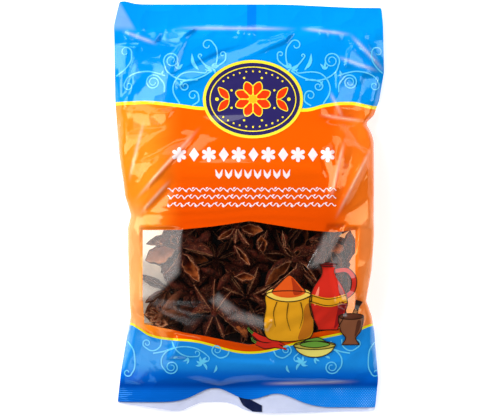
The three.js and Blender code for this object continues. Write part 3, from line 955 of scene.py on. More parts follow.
# Pods that lie in view under the window, as (x, y, depth under the film), (tip about X, about Y),
# length of the stalk, and carpels. A carpel is (angle, length, width, depth, gape, roll, rise).
SHOWN_PODS = [
    ((-30.6, -18.1, 3.4), (2, -7), 0, [
        (-12, 15.6, 5.6, 6.5, 0.14, 40, 0), (-62, 16.8, 6.0, 6.0, 0.8, 4, 0),
        (197, 15.6, 7.0, 6.0, 0.95, -8, 0), (170, 14.6, 5.2, 6.0, 0.12, -55, 4),
        (-113, 13.0, 4.4, 5.5, 0.15, 60, -8), (112, 9.0, 5.0, 5.0, 0.6, 10, 40),
        (62, 12.0, 5.2, 6.0, 0.1, 60, -24), (20, 12.0, 4.4, 5.0, 0.1, 70, -24),
    ]),
    ((-15.4, -46.4, 3.4), (0, 2), 0, [
        (128, 15.5, 3.6, 5.5, 0.02, 6, -6), (93, 15.0, 3.2, 5.5, 0.02, 0, -4),
        (57, 12.6, 3.4, 5.0, 0.02, -8, 6), (-36, 18.4, 6.0, 8.4, 0.04, 78, -3),
        (-68, 12.0, 3.8, 5.5, 0.02, 10, -8), (-113, 10.0, 3.4, 5.0, 0.02, 0, -14),
        (176, 11.0, 4.2, 5.5, 0.1, -50, -10), (15, 12.0, 4.2, 5.5, 0.1, 60, -18),
    ]),
    ((-38.7, -47.2, 3.6), (0, -4), 0, [
        (47, 14.5, 5.0, 5.0, 0.05, 172, -2), (-4, 13.0, 4.4, 5.0, 0.1, 150, -4),
        (-88, 6.2, 5.0, 4.0, 0.95, 0, 16), (100, 5.6, 2.8, 3.5, 0.7, 0, 8),
        (140, 5.8, 2.6, 3.5, 0.6, 0, 6), (178, 7.6, 3.0, 3.5, 0.6, 0, 2), (215, 6.0, 2.8, 3.5, 0.7, 0, 8),
        (250, 5.6, 2.8, 3.5, 0.6, 0, 8),
    ]),
    ((-5.3, -8.0, 4.0), (-4, 0), 0, [
        (-142, 10.5, 4.2, 5.0, 0.5, 12, 4), (-100, 8.0, 3.4, 4.5, 0.12, 0, 2),
        (-62, 10.0, 3.4, 4.5, 0.1, -20, 0), (-17, 11.5, 5.2, 5.5, 0.75, 6, 2),
        (40, 11.0, 4.4, 5.0, 0.3, 0, -6), (95, 12.0, 4.4, 5.0, 0.3, 0, -6),
        (150, 12.0, 4.4, 5.0, 0.3, 0, -6),
    ]),
    ((20.3, -22.8, 3.6), (0, 4), 0, [
        (214, 17.5, 7.0, 6.5, 0.62, -24, -2), (135, 8.6, 3.4, 4.5, 0.4, 0, 16),
        (84, 6.4, 3.4, 4.5, 0.7, 0, 34), (20, 12.0, 4.4, 5.0, 0.1, 70, -14),
        (-40, 13.0, 4.6, 5.5, 0.3, 20, -10), (-100, 11.0, 4.6, 5.5, 0.2, 60, -14),
    ]),
    ((35.5, -17.0, 4.6), (0, 6), 6, [
        (100, 12.0, 4.6, 5.5, 0.5, 0, -6), (55, 11.0, 4.6, 5.5, 0.2, 40, -6),
        (-70, 14.0, 5.0, 6.0, 0.7, 20, -4), (-110, 13.0, 4.8, 6.0, 0.15, -60, -4),
        (-150, 12.0, 4.6, 6.0, 0.15, -60, -8), (160, 10.0, 4.0, 5.0, 0.1, -50, -4),
    ]),
    ((30.0, -38.0, 4.6), (0, 0), 8, [
        (-160, 13.0, 4.6, 5.5, 0.3, -20, -6), (-120, 13.0, 4.8, 6.0, 0.6, 0, -2),
        (-75, 12.0, 4.6, 5.0, 0.15, 40, -8), (10, 12.0, 4.4, 5.0, 0.2, 20, -10),
        (60, 12.0, 4.6, 5.0, 0.5, 10, -6), (120, 11.0, 4.2, 5.0, 0.12, -40, -8),
    ]),
]
# Ordinary pods, whole and broken, mixed through the heap: (seed, range of gapes, carpels, size, stalk).
PLAIN_PODS = [
    (seed, grown(seed, gapes, count, size), stalk_length) for seed, gapes, count, size, stalk_length in (
        (11, (0.02, 0.12), 8, 14.5, 0), (18, (0.1, 0.45), 8, 13.5, 9), (24, (0.3, 0.8), 6, 14.5, 0),
        (37, (0.02, 0.25), 7, 15.0, 11), (45, (0.05, 0.2), 8, 10.5, 0), (52, (0.2, 0.95), 5, 15.5, 0),
        (66, (0.02, 0.1), 3, 14.0, 0))
]
# Single carpels in view, broken off: (x, y, depth under the film, angle, length, width, gape, roll,
# rise).
SHOWN_CARPELS = [
    (-0.6, -37.6, 2.5, -38, 19, 3.6, 0.1, 170, 0), (-7.3, -15.8, 2.5, -49, 12, 4.8, 0.4, 0, 0),
    (6.1, -21.2, 2.4, 95, 9, 4.4, 0.85, 0, 0), (-7.6, -30.2, 2.6, 2, 10, 5.2, 0.55, 0, 0),
    (-13.9, -37.2, 2.6, 60, 11, 4.6, 0.1, 172, 0), (-24, -28.2, 4.5, -3, 12, 4.4, 0.1, 160, 0),
    (0.7, -44.0, 3.0, -68, 13.5, 5, 0.2, -50, 0), (10.2, -36.0, 4.0, -55, 9, 4.4, 0.1, 180, 0),
    (38.0, -14.5, 3.2, -80, 6, 5.4, 1.0, 0, 4), (21.5, -24.2, 2.2, 222, 21, 3.0, 0.05, 60, 1),
    (-19.0, -8.5, 4.5, -120, 10, 4.4, 0.2, 120, 0), (14.0, -9.5, 3.5, -75, 9, 3.4, 0.2, 10, 0),
    (8.0, -9.0, 3.5, -118, 10, 3.6, 0.3, 10, 0), (-4.0, -20.0, 5.5, -20, 13, 4.6, 0.3, 150, 0),
]
LOOSE_PODS = 34
LOOSE_CARPELS = 60
POD_SEED = 19
CORNER_X, CORNER_Y = -35.0, -27.0  # pods leave the window's corner to the upper left of this bare
SETTLE_STEPS = 220
SINKING = 0.1  # how far the heap sinks in a step
PUSH_SHARE, PUSH_LIMIT = 0.4, 1.5  # how much of an overlap a step takes away, and at most how much
FIRM_RADIUS = 1.1  # thinner parts, such as tips, only keep clear of the film
FILM_GAP = 0.35  # least space between a pod and the front film


def pod_balls(carpels):
    """A pod as a few balls, (x, y, z, radius), to keep pods out of each other."""
    balls = [(0, 0, -1.8, 2.6)]
    for angle, length, width, depth, _, roll, rise in carpels:
        turn = carpel_turn(angle, roll, rise)
        for share, height, size in ((0.42, -0.5, 1.0), (0.75, -0.35, 0.72), (1.0, 0.1, 0.35)):
            place = turn @ np.array([share * length, 0, height * depth * 0.85])
            balls.append((*place, size * width * 0.46))
    return balls


def heap_things():
    """Everything in the heap as (shape, balls, place, turn), with what shows under the window first."""
    random = np.random.default_rng(POD_SEED)
    things = []

    def under_film(x, y, depth, raised=0):
        return x, y, front_height(film_share(x, y), x, y) - depth - raised

    for x, y, depth, angle, length, width, gape, roll, rise in SHOWN_CARPELS:
        carpels = [(0, length, width, length * 0.42, gape, 0, 0)]
        raised = 0 if abs(roll) < 45 else width * 0.5 if abs(roll) < 135 else length * 0.36
        shape = pod(100 + len(things), carpels, column=False, stations=VIEW_STATIONS)
        things.append((shape, pod_balls(carpels)[1:], under_film(x, y, depth, raised),
                       carpel_turn(angle, roll, rise)))
    for seed, (place, (tip_x, tip_y), stalk_length, carpels) in enumerate(SHOWN_PODS, 1):
        shape = pod(seed, carpels, stalk_length, stations=VIEW_STATIONS)
        turn = turn_matrix("X", tip_x) @ turn_matrix("Y", tip_y)
        things.append((shape, pod_balls(carpels), under_film(*place), turn))
    plain_shapes = [pod(*kind) for kind in PLAIN_PODS]
    for k in range(LOOSE_PODS):
        kind = int(random.integers(0, len(PLAIN_PODS)))
        x = -42 + 21 * (k % 5) + random.uniform(-5, 5)
        y = -53 + 14.5 * (k // 5) + random.uniform(-5, 5)
        place = (x, y, random.uniform(5, 14))
        spin = turn_matrix("Z", random.uniform(0, 360))
        tumble = turn_matrix("X", random.normal(0, 40) + 180 * (random.random() < 0.5))
        things.append((plain_shapes[kind], pod_balls(PLAIN_PODS[kind][1]), place, spin @ tumble))
    for k in range(LOOSE_CARPELS):
        length = random.uniform(9, 15)
        carpels = [(0, length, length * 0.4, length * 0.44, random.uniform(0.02, 0.7), 0, 0)]
        place = (random.uniform(-44, 42), random.uniform(-58, 20), random.uniform(2, 15))
        turn = carpel_turn(random.uniform(0, 360), random.uniform(0, 360), random.normal(0, 20))
        things.append((pod(200 + k, carpels, column=False), pod_balls(carpels)[1:], place, turn))
    return things


def settle_pods(things, held, steps):
    """Places of the heap's things. The first held ones stay put, and the rest is pushed clear of them,
    and of each other, between the two films. Gives (shape, centre, turn) for each."""
    shapes, balls, centres, turns = zip(*things)
    counts = np.array([len(b) for b in balls])
    starts = np.concatenate([[0], np.cumsum(counts)[:-1]])
    owner = np.repeat(np.arange(len(shapes)), counts)
    loose = owner >= held
    all_balls = np.concatenate(balls)
    radius = all_balls[:, 3]
    middle = np.add.reduceat(all_balls[:, :3], starts) / counts[:, None]
    offsets = all_balls[:, :3] - middle[owner]
    turns = np.array(turns)
    centres = np.array(centres, float) + np.einsum("nij,nj->ni", turns, middle)
    firm = np.flatnonzero(radius > FIRM_RADIUS)
    reach = radius[firm, None] + radius[None, firm]
    apart = (owner[firm, None] != owner[None, firm]) & (loose[firm, None] | loose[None, firm])
    for _ in range(steps):
        flat = np.einsum("nij,nj->ni", turns[owner], offsets) + centres[owner]
        gap = flat[firm, None, :] - flat[None, firm, :]
        distance_between = np.sqrt((gap ** 2).sum(-1)) + 1e-6
        overlap = np.where(apart, np.maximum(reach - distance_between, 0), 0)
        push = (gap / distance_between[:, :, None] * overlap[:, :, None]).sum(1)
        flat[firm] += np.clip(push * PUSH_SHARE, -PUSH_LIMIT, PUSH_LIMIT)
        x, y, z = flat.T
        z -= SINKING * loose
        share = film_share(x, y)
        ceiling = front_height(share, x, y) - radius - 0.8
        z[:] = np.maximum(np.minimum(z, ceiling), back_height(share, x, y) + radius + 0.2)
        left, right = bag_sides(y)
        left = np.where((y > CORNER_Y) & (y < 0), CORNER_X - 3 + radius, left + 3 + radius * 0.5)
        x[:] = np.clip(x, left, right - 9 - radius * 0.5)
        y[:] = np.clip(y, FILL_BOTTOM + 3, FILL_TOP + 2)
        new_centres = np.add.reduceat(flat, starts) / counts[:, None]
        away = flat - new_centres[owner]
        spread = np.add.reduceat(away[:, :, None] * offsets[:, None, :], starts)
        spread += 1e-3 * turns  # keeps the turn of a row of balls about its own length
        left_basis, _, right_basis = np.linalg.svd(spread)
        left_basis[:, :, 2] *= np.sign(np.linalg.det(left_basis @ right_basis))[:, None]
        centres[held:] = new_centres[held:]
        turns[held:] = (left_basis @ right_basis)[held:]
    centres = centres - np.einsum("nij,nj->ni", turns, middle)
    return list(zip(shapes, centres, turns))


# Dried husk scatters light dully outside and takes a faint polish inside. The outside is mottled at
# about 2 mm and wrinkled at half a millimetre. The ridges of the wrinkles and the pale lips are rubbed
# and stained, much more in some patches, of about 5 mm, than in others.
husk, tree, surface = new_material("dried_woody_husk")
coordinates = add(tree, "TexCoord", output="Object")
place = add(tree, "SeparateXYZ", {"Vector": coordinates}).node
x, y = place.outputs["X"], place.outputs["Y"]
mottle, grain, patches = [
    add(tree, "TexNoise", {"Vector": coordinates, "Scale": 1 / (size * MM), "Detail": detail}, "Fac")
    for size, detail in ((2.381, 5.0), (0.5263, 4.0), (5.263, 2.0))
]
inside_mark, lip_mark = [
    add(tree, "Attribute", output="Fac", attribute_name=mark) for mark in ("inside", "lip")
]
dark_spots, inner_spots, lip_spots, lip_edge, rubbing = [
    add(tree, "MapRange", {"Value": value, "From Min": low, "From Max": high, "To Min": least})
    for value, low, high, least in (
        (mottle, 0.3, 0.72, 0), (mottle, 0.3, 0.7, 0), (grain, 0.36, 0.62, 0), (lip_mark, 0.45, 0.95, 0),
        (patches, 0.42, 0.66, 0.25))
]
worn = add(tree, "MapRange", {"Value": grain, "From Min": 0.52, "From Max": 0.68, "To Max": 0.85})
# Painted sheen: pods at the window's left side are painted paler inside, and in its lower left corner paler
# outside as well, for the haze of reflected light over them there.
worn_and_sheen_share = add(tree, "Math", {
    0: where(tree, worn, rubbing), 1: where(tree, (x, -26, -36), (y, -32, -42), 0.3),
}, operation="MAXIMUM")
outer = painted(tree, "#0B0202", ("#56180B", dark_spots), ("#B0704A", worn_and_sheen_share))
hollow = painted(tree, "#64260F", ("#C4682E", inner_spots), ("#E8A478", (x, -26, -36), 0.6))
lips = painted(tree, "#8E4C2A", ("#E2A074", lip_spots))
skin = painted(tree, outer, (hollow, inside_mark), (lips, lip_edge))
wrinkles = add(tree, "Bump", {"Height": grain, "Strength": 0.9, "Distance": 0.6 * MM})
tree.links.new(add(tree, "BsdfPrincipled", {
    "Base Color": skin, "Normal": wrinkles, "Roughness": 0.5, "Specular IOR Level": 0.06}), surface)


def keep_under_film(points):
    """Presses what would stick out of the films back inside, as the films do."""
    y = np.clip(points[:, 1], FILL_BOTTOM + 1, FILL_TOP + 8)
    left, right = bag_sides(y)
    x = np.clip(points[:, 0], left + 2.2, right - 2.2)
    z = np.maximum(points[:, 2], back_height(film_share(x, y), x, y) + 0.5)
    for k in range(len(z)):
        film_z = surface_below(film_surface, x[k], y[k])
        if film_z is not None:
            z[k] = min(z[k], film_z - FILM_GAP)
    return np.stack([x, y, z], -1)


def heap_piece(name, picked):
    """The picked things of the heap as one object."""
    parts = [(keep_under_film(shape[0] @ turn.T + centre), *shape[1:]) for shape, centre, turn in picked]
    points, faces, lip, inside = joined(parts)
    piece = solid_from(name, points, faces)
    mark_points(piece.data, {"lip": lip, "inside": inside})
    edit_all(piece, (bpy.ops.mesh.remove_doubles, {"threshold": 0.004 * MM}),
             (bpy.ops.mesh.normals_make_consistent, {"inside": False}))
    piece.data.materials.append(husk)
    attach(piece, "root")


shown_count = len(SHOWN_CARPELS) + len(SHOWN_PODS)
heap = settle_pods(heap_things(), shown_count, SETTLE_STEPS)
heap_piece("star_anise_under_window", heap[:shown_count])
heap_piece("star_anise_heap", heap[shown_count:-LOOSE_CARPELS])
heap_piece("loose_carpels", heap[-LOOSE_CARPELS:])

# ------------------------------------------------------------------ printed ornament
# The print on the front: pale vine scrolls on the azure, a medallion across the upper line, rows of
# small ornaments where a pack carries its words, and a still life of spices over the window's corner.
SCROLL_AXIS = 1.0  # the scrolls on the right mirror those on the left across this x
INK_LIFT = 0.16  # ink lies this far over the film, so that its flat faces clear the film's folds
LAYER_LIFT = 0.05


def spline(points, closed=False, pieces=8):
    """A smooth line through the points."""
    points = np.array(points, float)
    if closed:
        padded = np.concatenate([points[-1:], points, points[:2]])
    else:
        padded = np.concatenate([2 * points[:1] - points[1:2], points, 2 * points[-1:] - points[-2:-1]])
    t = (np.arange(pieces) / pieces)[:, None]
    line = []
    for a, b, c, d in zip(padded, padded[1:], padded[2:], padded[3:]):
        curve = (2 * a - 5 * b + 4 * c - d) * t ** 2 + (3 * b - a - 3 * c + d) * t ** 3
        line.append(0.5 * (2 * b + (c - a) * t + curve))
    if not closed:
        line.append(points[-1:])
    return np.concatenate(line)


def scroll(stem, radius, turns, hand):
    """A stem that ends in a shrinking spiral, to the left where hand is 1 and to the right for -1."""
    line = spline(stem)
    ahead = line[-1] - line[-2]
    ahead = ahead / np.linalg.norm(ahead)
    side = hand * np.array([-ahead[1], ahead[0]])
    centre = line[-1] + side * radius
    angle = np.linspace(0, hand * turns * 2 * np.pi, int(26 * turns) + 2)[1:]
    shrink = radius * (1 - 0.72 * np.abs(angle) / (turns * 2 * np.pi))
    start = math.atan2(-side[1], -side[0])
    spiral = centre + np.stack([shrink * np.cos(start + angle), shrink * np.sin(start + angle)], -1)
    return np.concatenate([line, spiral])


def ribbon(line, widths):
    """A strip along a line. widths are its widths at even steps from start to end."""
    line = np.asarray(line, float)
    ahead = np.gradient(line, axis=0)
    ahead /= np.linalg.norm(ahead, axis=1, keepdims=True) + 1e-9
    side = np.stack([-ahead[:, 1], ahead[:, 0]], -1)
    share = np.linspace(0, 1, len(line))
    half = np.interp(share, np.linspace(0, 1, len(widths)), widths)[:, None] / 2
    points = np.concatenate([line - side * half, line + side * half])
    count = len(line)
    return points, [(k, k + 1, count + k + 1, count + k) for k in range(count - 1)]


def filled(outline, spacing=0.8):
    """A closed outline filled with small triangles that can follow the film."""
    outline = np.asarray(outline, float)
    low, high = outline.min(0), outline.max(0)
    inner_x, inner_y = np.meshgrid(np.arange(low[0], high[0], spacing), np.arange(low[1], high[1], spacing))
    lattice = np.stack([inner_x.ravel(), inner_y.ravel()], -1)
    ends = np.roll(outline, -1, axis=0)
    crossings = np.zeros(len(lattice), int)
    nearest = np.full(len(lattice), 1e9)
    for (ax, ay), (bx, by) in zip(outline, ends):
        spans = (ay > lattice[:, 1]) != (by > lattice[:, 1])
        crossings += spans & (lattice[:, 0] < (bx - ax) * (lattice[:, 1] - ay) / (by - ay + 1e-12) + ax)
        nearest = np.minimum(nearest, np.hypot(lattice[:, 0] - ax, lattice[:, 1] - ay))
    inside = lattice[(crossings % 2 == 1) & (nearest > spacing * 0.4)]
    places = [Vector(p) for p in np.concatenate([outline, inside]).tolist()]
    points, _, faces, _, _, _ = delaunay_2d_cdt(places, [], [list(range(len(outline)))], 1, 1e-6)
    return np.array([tuple(p) for p in points]), [tuple(face) for face in faces]


def oval(x, y, half_width, half_height, count=40):
    angle = np.arange(count) * 2 * np.pi / count
    return np.stack([x + half_width * np.cos(angle), y + half_height * np.sin(angle)], -1)


def ring(outline, width):
    """A closed line of even width."""
    return ribbon(np.concatenate([outline, outline[:1]]), [width, width])


def flower(x, y, radius, petals, depth, turn=0.0):
    """A round flower's outline: its edge dips by depth between the petals."""
    angle = np.arange(petals * 10) * 2 * np.pi / (petals * 10)
    reach = radius * (1 - depth * (1 - np.abs(np.cos(angle * petals / 2))) ** 1.4)
    return np.stack([x + reach * np.cos(angle + turn), y + reach * np.sin(angle + turn)], -1)


def mirrored(shapes):
    """The shapes with their mirror images across the print's axis."""
    flipped = []
    for points, faces in shapes:
        other = points.copy()
        other[:, 0] = 2 * SCROLL_AXIS - other[:, 0]
        flipped.append((other, [face[::-1] for face in faces]))
    return shapes + flipped


def ink_layer(name, hex_code, shapes, layer=0):
    """Shapes of one ink, laid on the film."""
    material, tree, surface = new_material("gloss_ink_" + name)
    tree.links.new(add(tree, "BsdfPrincipled", {
        "Base Color": hex_code, "Roughness": 0.3, "IOR": 1.5, "Coat Weight": 0.65, "Coat Roughness": 0.07,
        "Specular IOR Level": 0.08}), surface)
    points, faces = joined(shapes)
    laid, off_film = [], set()
    for k, (x, y) in enumerate(points):
        film_z = surface_below(film_surface, x, y)
        if film_z is None:
            off_film.add(k)
        laid.append((x, y, (film_z or 0) + INK_LIFT + LAYER_LIFT * layer))
    faces = [face for face in faces if not off_film.intersection(face)]
    piece = solid_from("print_" + name, np.array(laid), faces)
    edit_all(piece, (bpy.ops.mesh.delete_loose, {}),
             (bpy.ops.mesh.normals_make_consistent, {"inside": False}))
    if sum(polygon.normal.z for polygon in piece.data.polygons) < 0:
        piece.data.flip_normals()
    piece.data.materials.append(material)
    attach(piece, "root")


# Vine scrolls: (stem points, end radius, turns, hand), with the stems' widths falling to the tip.
SCROLLS = [
    # Above the upper line.
    ([(-59, 58.2), (-55.3, 61), (-52.5, 64.8), (-52.1, 68.6)], 2.7, 0.9, 1),
    ([(-37.2, 58.2), (-40.5, 59.3), (-44.9, 60.2), (-49.8, 59.6), (-53.6, 57.7), (-55.3, 55)], 2.2, 1.1, 1),
    ([(-37.5, 50.9), (-37.6, 54.4), (-39.7, 57.4)], 3.4, 1.9, 1),
    ([(-16.4, 60.4), (-20.8, 57.7), (-26.3, 56.1), (-31.7, 56.9), (-36.1, 59.9), (-37.7, 63.7)],
     3.6, 1.7, -1),
    ([(-30.6, 45.7), (-33.4, 50.6), (-33.1, 55), (-30.1, 58.8), (-25.7, 59.9), (-19.7, 59.3)], 1.2, 0.5, 1),
    ([(-22.7, 56.3), (-26.0, 56.4), (-29.0, 55.6)], 2.2, 1.3, 1),
    ([(-25.2, 44.8), (-22.4, 46.8), (-22.4, 49.5)], 2.4, 1.1, 1),
    ([(-15.3, 61.5), (-14.2, 65.9), (-14.5, 70.3), (-16.4, 73.3)], 2.6, 0.9, 1),
    ([(-15, 61.5), (-10.9, 64.8), (-10.4, 67.6)], 1.4, 0.9, 1),
    ([(-16.4, 61.5), (-19.7, 63.2), (-22.4, 66.5)], 1.0, 0.8, -1),
    # Below the lower line.
    ([(-38.6, -57.9), (-39.1, -60.8), (-41.2, -62.7), (-43.7, -62.9), (-46.2, -61.3)], 1.9, 1.2, -1),
    ([(-42.4, -64.2), (-38.2, -63.4), (-33.2, -61.7), (-28.9, -61), (-23.9, -61.7), (-20.5, -63.4),
      (-18, -65.5)], 1.6, 0.7, -1),
    ([(-34, -58.7), (-32.7, -61.7), (-30.2, -64.2), (-26.8, -65.5), (-23.1, -65.5)], 1.6, 0.8, 1),
    ([(-33.2, -61.7), (-36.5, -63.4), (-38.6, -66.3), (-38.6, -69.7), (-36.9, -72.2)], 3.1, 1.7, 1),
    ([(-8.7, -62.9), (-10, -65.2), (-12.9, -66.1), (-15.5, -64.6)], 2.4, 1.3, -1),
    ([(-53.8, -59.1), (-51.3, -62.5), (-50.6, -66.7), (-50.8, -70.9), (-52.3, -73.9)], 1.9, 0.9, -1),
]
# Leaves: their root and, for each, (angle, length, width).
LEAVES = [
    ((-22.4, 60.7), [(112, 8.0, 1.5)]),
    ((-30.6, 61.2), [(60, 2.6, 0.9), (150, 2.6, 0.9), (105, 3.2, 1.0)]),
    ((-16.4, 61.5), [(20, 3.4, 1.1), (60, 2.6, 1.0), (160, 3.6, 1.1), (200, 3.0, 1.0), (300, 3.0, 1.0)]),
    ((-38, 60.5), [(235, 2.4, 0.9)]),
    ((-30.4, 55.8), [(290, 2.2, 0.8)]),
    ((-20.5, -68.5), [(60, 3.2, 1.2), (20, 2.8, 1.0), (110, 3.4, 1.2), (160, 3.0, 1.1),
     (200, 3.4, 1.1), (300, 3.6, 1.1)]),
    ((-27, -66), [(220, 2.6, 0.9), (260, 3.0, 0.9)]),
    ((-14.5, -69.5), [(250, 3.6, 1.0)]),
    ((-33.5, -66.5), [(20, 2.2, 0.9)]),
]
LEAF_BEND = 0.25  # radians
vines = [ribbon(scroll(*shape), [0.62, 0.55, 0.38]) for shape in SCROLLS]
for (x, y), leaves in LEAVES:
    for angle, length, width in leaves:
        a = math.radians(angle)
        tip = (x + length * math.cos(a), y + length * math.sin(a))
        bend = (x + length * 0.5 * math.cos(a + LEAF_BEND), y + length * 0.5 * math.sin(a + LEAF_BEND))
        vines.append(ribbon(spline([(x, y), bend, tip]), [0.25, width, width * 0.9, 0.1]))
ink_layer("vine_scrolls", "#66D2FE", mirrored(vines))

# The medallion: an indigo oval with a yellow rim, an eight-petalled flower and a spray on each side.
MEDALLION_X, MEDALLION_Y = 1.6, 47.7
middle = np.array([MEDALLION_X, MEDALLION_Y])
medallion = oval(*middle, 21.4, 16.8, 72)
yellow = [ring(medallion, 1.3), ring(oval(*middle, 18.9, 14.3, 72), 0.45)]
petals = []
for k in range(8):
    a = math.radians(45 * k + 22.5)
    along = np.array([math.cos(a), math.sin(a)])
    across = np.array([-along[1], along[0]])
    petal = spline([middle + along * out + across * off for out, off in (
        (1.6, 0), (4.6, 2.0), (7.0, 1.5), (8.2, 0), (7.0, -1.5), (4.6, -2.0))], closed=True, pieces=6)
    petals.append(filled(petal, 0.7))
    yellow.append(ring(petal, 0.42))
    yellow.append(filled(oval(*(middle + along * 10.2), 0.5, 0.5, 12), 0.6))
for side in (-1, 1):
    root_x = MEDALLION_X + side * 10.6
    for lift in (-1, 1):
        leaf = spline([(root_x + side * out, MEDALLION_Y + lift * up) for out, up in (
            (0, 0), (3.4, 1.4), (4.6, 5.2), (0.8, 3.6))], closed=True, pieces=6)
        petals.append(filled(leaf, 0.7))
        yellow.append(ring(leaf, 0.36))
    yellow.append(filled(oval(root_x + side * 5.2, MEDALLION_Y, 0.8, 0.8, 14), 0.7))
for k in range(11):
    a = math.radians(40 + 10 * k)
    for lift in (-1, 1):
        bead = middle + (17.0 * math.cos(a), lift * 12.4 * math.sin(a))
        yellow.append(filled(oval(*bead, 0.42, 0.42, 10), 0.6))
ink_layer("medallion_ground", "#2B2460", [filled(medallion, 0.9)])
ink_layer("medallion_petals", "#F33A0C", petals, 1)
ink_layer("medallion_gold", "#FFE83A", yellow, 2)
ink_layer("medallion_heart", "#FFC21E", [filled(flower(*middle, 1.9, 8, 0.3), 0.7)], 3)

# Rows of small ornaments: flowers and lozenges, leaf pairs, then beads and dashes.
rows = []
for k in range(11):
    x = -30.6 + 6.48 * k
    if k % 2:
        rows.append(filled([(x - 2.2, 23.1), (x, 20.0), (x + 2.2, 23.1), (x, 26.2)], 0.7))
    else:
        rows.append(filled(flower(x, 23.1, 3.3, 6, 0.55, 0.52), 0.6))
for k in range(8):
    x = -13.2 + 4.2 * k
    for side in (-1, 1):
        rows.append(ribbon([(x, 12.6), (x + side * 0.7, 14.2), (x + side * 1.5, 16.6)], [0.3, 1.5, 0.2]))
for row, y in enumerate((7.8, 4.7, 1.3)):
    across = np.linspace(-35.6, 37.8, 200)
    rows.append(ribbon(np.stack([across, y + 0.62 * np.sin(across * 2.1 + row)], -1), [0.4, 0.4]))
    for k in range(24):
        x = 2 * (np.pi * (k - 11.5) - row + np.pi / 2) / 2.1
        side = 1 if k % 2 else -1
        dash = [(x - 1, y + side * 0.1), (x - 0.6, y + side * 0.75), (x, y + side * 1.1)]
        rows.append(ribbon(dash, [0.3, 0.75, 0.1]))
ink_layer("ornament_rows", "#FBE4E4", rows)

# The still life: a glazed jug, a sack of ground spice, a mortar, a dish of leaves and two chillies.
OUTLINE = 0.38
OUTLINE_INK = "#2A1A10"


def turned_outline(middle, profile):
    """A vessel's outline from (half width, y) pairs, top to bottom."""
    right, left = [spline([(middle + side * w, y) for w, y in profile]) for side in (1, -1)]
    return np.concatenate([right, left[::-1]])


jug = turned_outline(34.5, [
    (3.9, -24.6), (2.8, -27.2), (3.4, -30), (6.6, -35), (8.3, -41), (7.2, -47), (4.8, -52), (4.4, -53.6)])
jug_mouth = oval(34.5, -24.8, 3.9, 1.0, 24)
jug_band = np.concatenate([
    spline([(26.6, -37.6), (34.5, -39.4), (42.4, -37.6)]),
    spline([(42.8, -41.4), (34.5, -43.4), (26.2, -41.4)])])
jug_shade = spline([
    (38.6, -33.4), (41.6, -38), (42.2, -43), (39.4, -50), (37.2, -52.8), (38.6, -45), (39.4, -39)], True)
jug_light = spline([(30.4, -34.4), (28.6, -38.6), (28.4, -42.6), (29.4, -41.6), (30.2, -38)], True)
jug_handle = spline([(37.4, -27.6), (42.6, -27.4), (45.6, -31), (45.2, -36), (42.0, -39)])
sack = spline([
    (8.4, -37), (7.2, -44), (6.2, -51), (7.8, -57), (14, -58.6), (21, -58.4), (27, -56.6), (28.2, -50),
    (26.8, -43), (25.6, -37)], True)
sack_rim = spline([
    (7.8, -36.4), (12, -34.8), (17, -34.4), (22, -34.8), (26.2, -36.4), (26.4, -38.6), (22, -40.4),
    (17, -41), (12, -40.4), (7.8, -38.6)], True)
sack_shade = spline([(26.2, -42), (27.8, -50), (26.6, -56), (21.4, -57.6), (23.6, -50), (24, -44)], True)
powder = spline([
    (9.8, -37), (12.6, -33.6), (15.6, -30.6), (17.6, -29.4), (19.8, -31), (22.4, -34), (24.4, -37),
    (20, -39), (14, -39)], True)
powder_shade = spline([(18.4, -30.4), (20.6, -33), (23.2, -36.8), (19.6, -38), (18.8, -34)], True)
mortar = turned_outline(44.6, [
    (5.6, -47.6), (5.4, -50.4), (4.4, -54.4), (2.4, -57), (2.6, -58.4), (4.0, -60.4)])
mortar_mouth = oval(44.6, -47.7, 5.6, 1.3, 28)
mortar_shade = spline([(47.6, -49.6), (49.2, -50.2), (48.2, -54), (46.4, -56.6), (46.8, -53)], True)
pestle = spline([(45.4, -48.6), (46.9, -44.6), (48.2, -40.8)])
dish = np.concatenate([
    spline([(19.4, -60.4), (21.6, -63.6), (26, -65.6), (31.4, -65.6), (35.8, -63.6), (38.0, -60.4)]),
    spline([(38.0, -60.4), (28.7, -58.6), (19.4, -60.4)])[1:-1]])
dish_well = oval(28.7, -60.5, 9.3, 1.9, 36)
herbs = spline([
    (22.4, -60.4), (24.6, -58.2), (27.4, -57.4), (30.2, -57), (33, -58.4), (35.2, -60.4),
    (28.8, -61.6)], True)
chillies = [
    spline([(1.6, -55.0), (5.4, -57.4), (10, -58.4), (15.6, -60.4)]),
    spline([(3.0, -59.2), (7, -60.6), (11.4, -60.4), (16.4, -62.4)])]
stems = [
    spline([(1.6, -55.0), (0.2, -53.8), (-0.6, -52.4)]),
    spline([(3.0, -59.2), (1.6, -58.2), (1.0, -56.8)])]

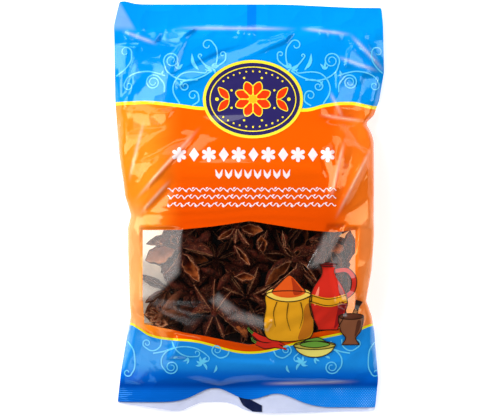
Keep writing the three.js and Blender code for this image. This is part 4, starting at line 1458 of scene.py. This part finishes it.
under_lines = [ribbon(jug_handle, [2.4, 2.7, 2.4]), ribbon(pestle, [2.2, 2.2, 2.1, 3.3])]
under_lines += [ribbon(chilli, [2.3, 3.2, 2.7, 0.6]) for chilli in chillies]
reds = [filled(jug), ribbon(jug_handle, [1.7, 1.9, 1.7])]
reds += [ribbon(chilli, [1.6, 2.4, 1.9, 0.3]) for chilli in chillies]
sack_folds = [
    [(12, -41), (10.6, -46), (11.4, -52)], [(17, -41.6), (16.4, -48), (18, -54)],
    [(22.4, -41.2), (23.4, -47), (22, -53)]]
band_edges = [
    [(26.8, -38.2), (34.5, -40.0), (42.2, -38.2)], [(26.4, -40.8), (34.5, -42.8), (42.6, -40.8)]]
lines = [ring(o, OUTLINE) for o in (jug, jug_mouth, mortar, mortar_mouth, dish, dish_well, herbs, sack)]
lines.append(ribbon(powder[:48], [OUTLINE, OUTLINE]))
lines.append(ribbon(spline([(7.8, -38.6), (12, -40.4), (17, -41), (22, -40.4), (26.4, -38.6)]),
                    [OUTLINE, OUTLINE]))
lines += [ribbon(spline(stroke), [OUTLINE, 0.15]) for stroke in sack_folds + band_edges]
lines += [ribbon(stem, [OUTLINE, OUTLINE]) for stem in stems]

for ink, hex_code, shapes, layer in (
    ("under_outlines", OUTLINE_INK, under_lines, 0),
    ("red", "#D42A1C", reds, 1),
    ("deep_red", "#94161A", [filled(jug_shade), filled(jug_mouth, 0.7)], 2),
    ("ochre", "#E9A21C", [filled(sack), filled(jug_band)], 3),
    ("deep_ochre", "#BE6E16", [filled(sack_shade)], 4),
    ("rim_outline", OUTLINE_INK, [ring(sack_rim, OUTLINE)], 5),
    ("powder", "#DC5418", [filled(powder)], 6),
    ("deep_powder", "#A83210", [filled(powder_shade)], 7),
    ("pale_ochre", "#F6CE58", [filled(sack_rim)], 4),
    ("pestle", "#B07A50", [ribbon(pestle, [1.5, 1.5, 1.4, 2.6])], 2),
    ("brown", "#8C5438", [filled(mortar)], 4),
    ("deep_brown", "#5C3222", [filled(mortar_shade), filled(mortar_mouth, 0.7)], 5),
    ("yellow", "#EEE070", [filled(dish)], 5),
    ("deep_yellow", "#C8B64A", [filled(dish_well, 0.8)], 6),
    ("green", "#6FA63C", [filled(herbs)] + [ribbon(stem, [0.9, 0.7]) for stem in stems], 7),
    ("highlights", "#F88A6C", [filled(jug_light)], 2),
    ("outlines", OUTLINE_INK, lines, 8),
):
    ink_layer("still_life_" + ink, hex_code, shapes, layer)
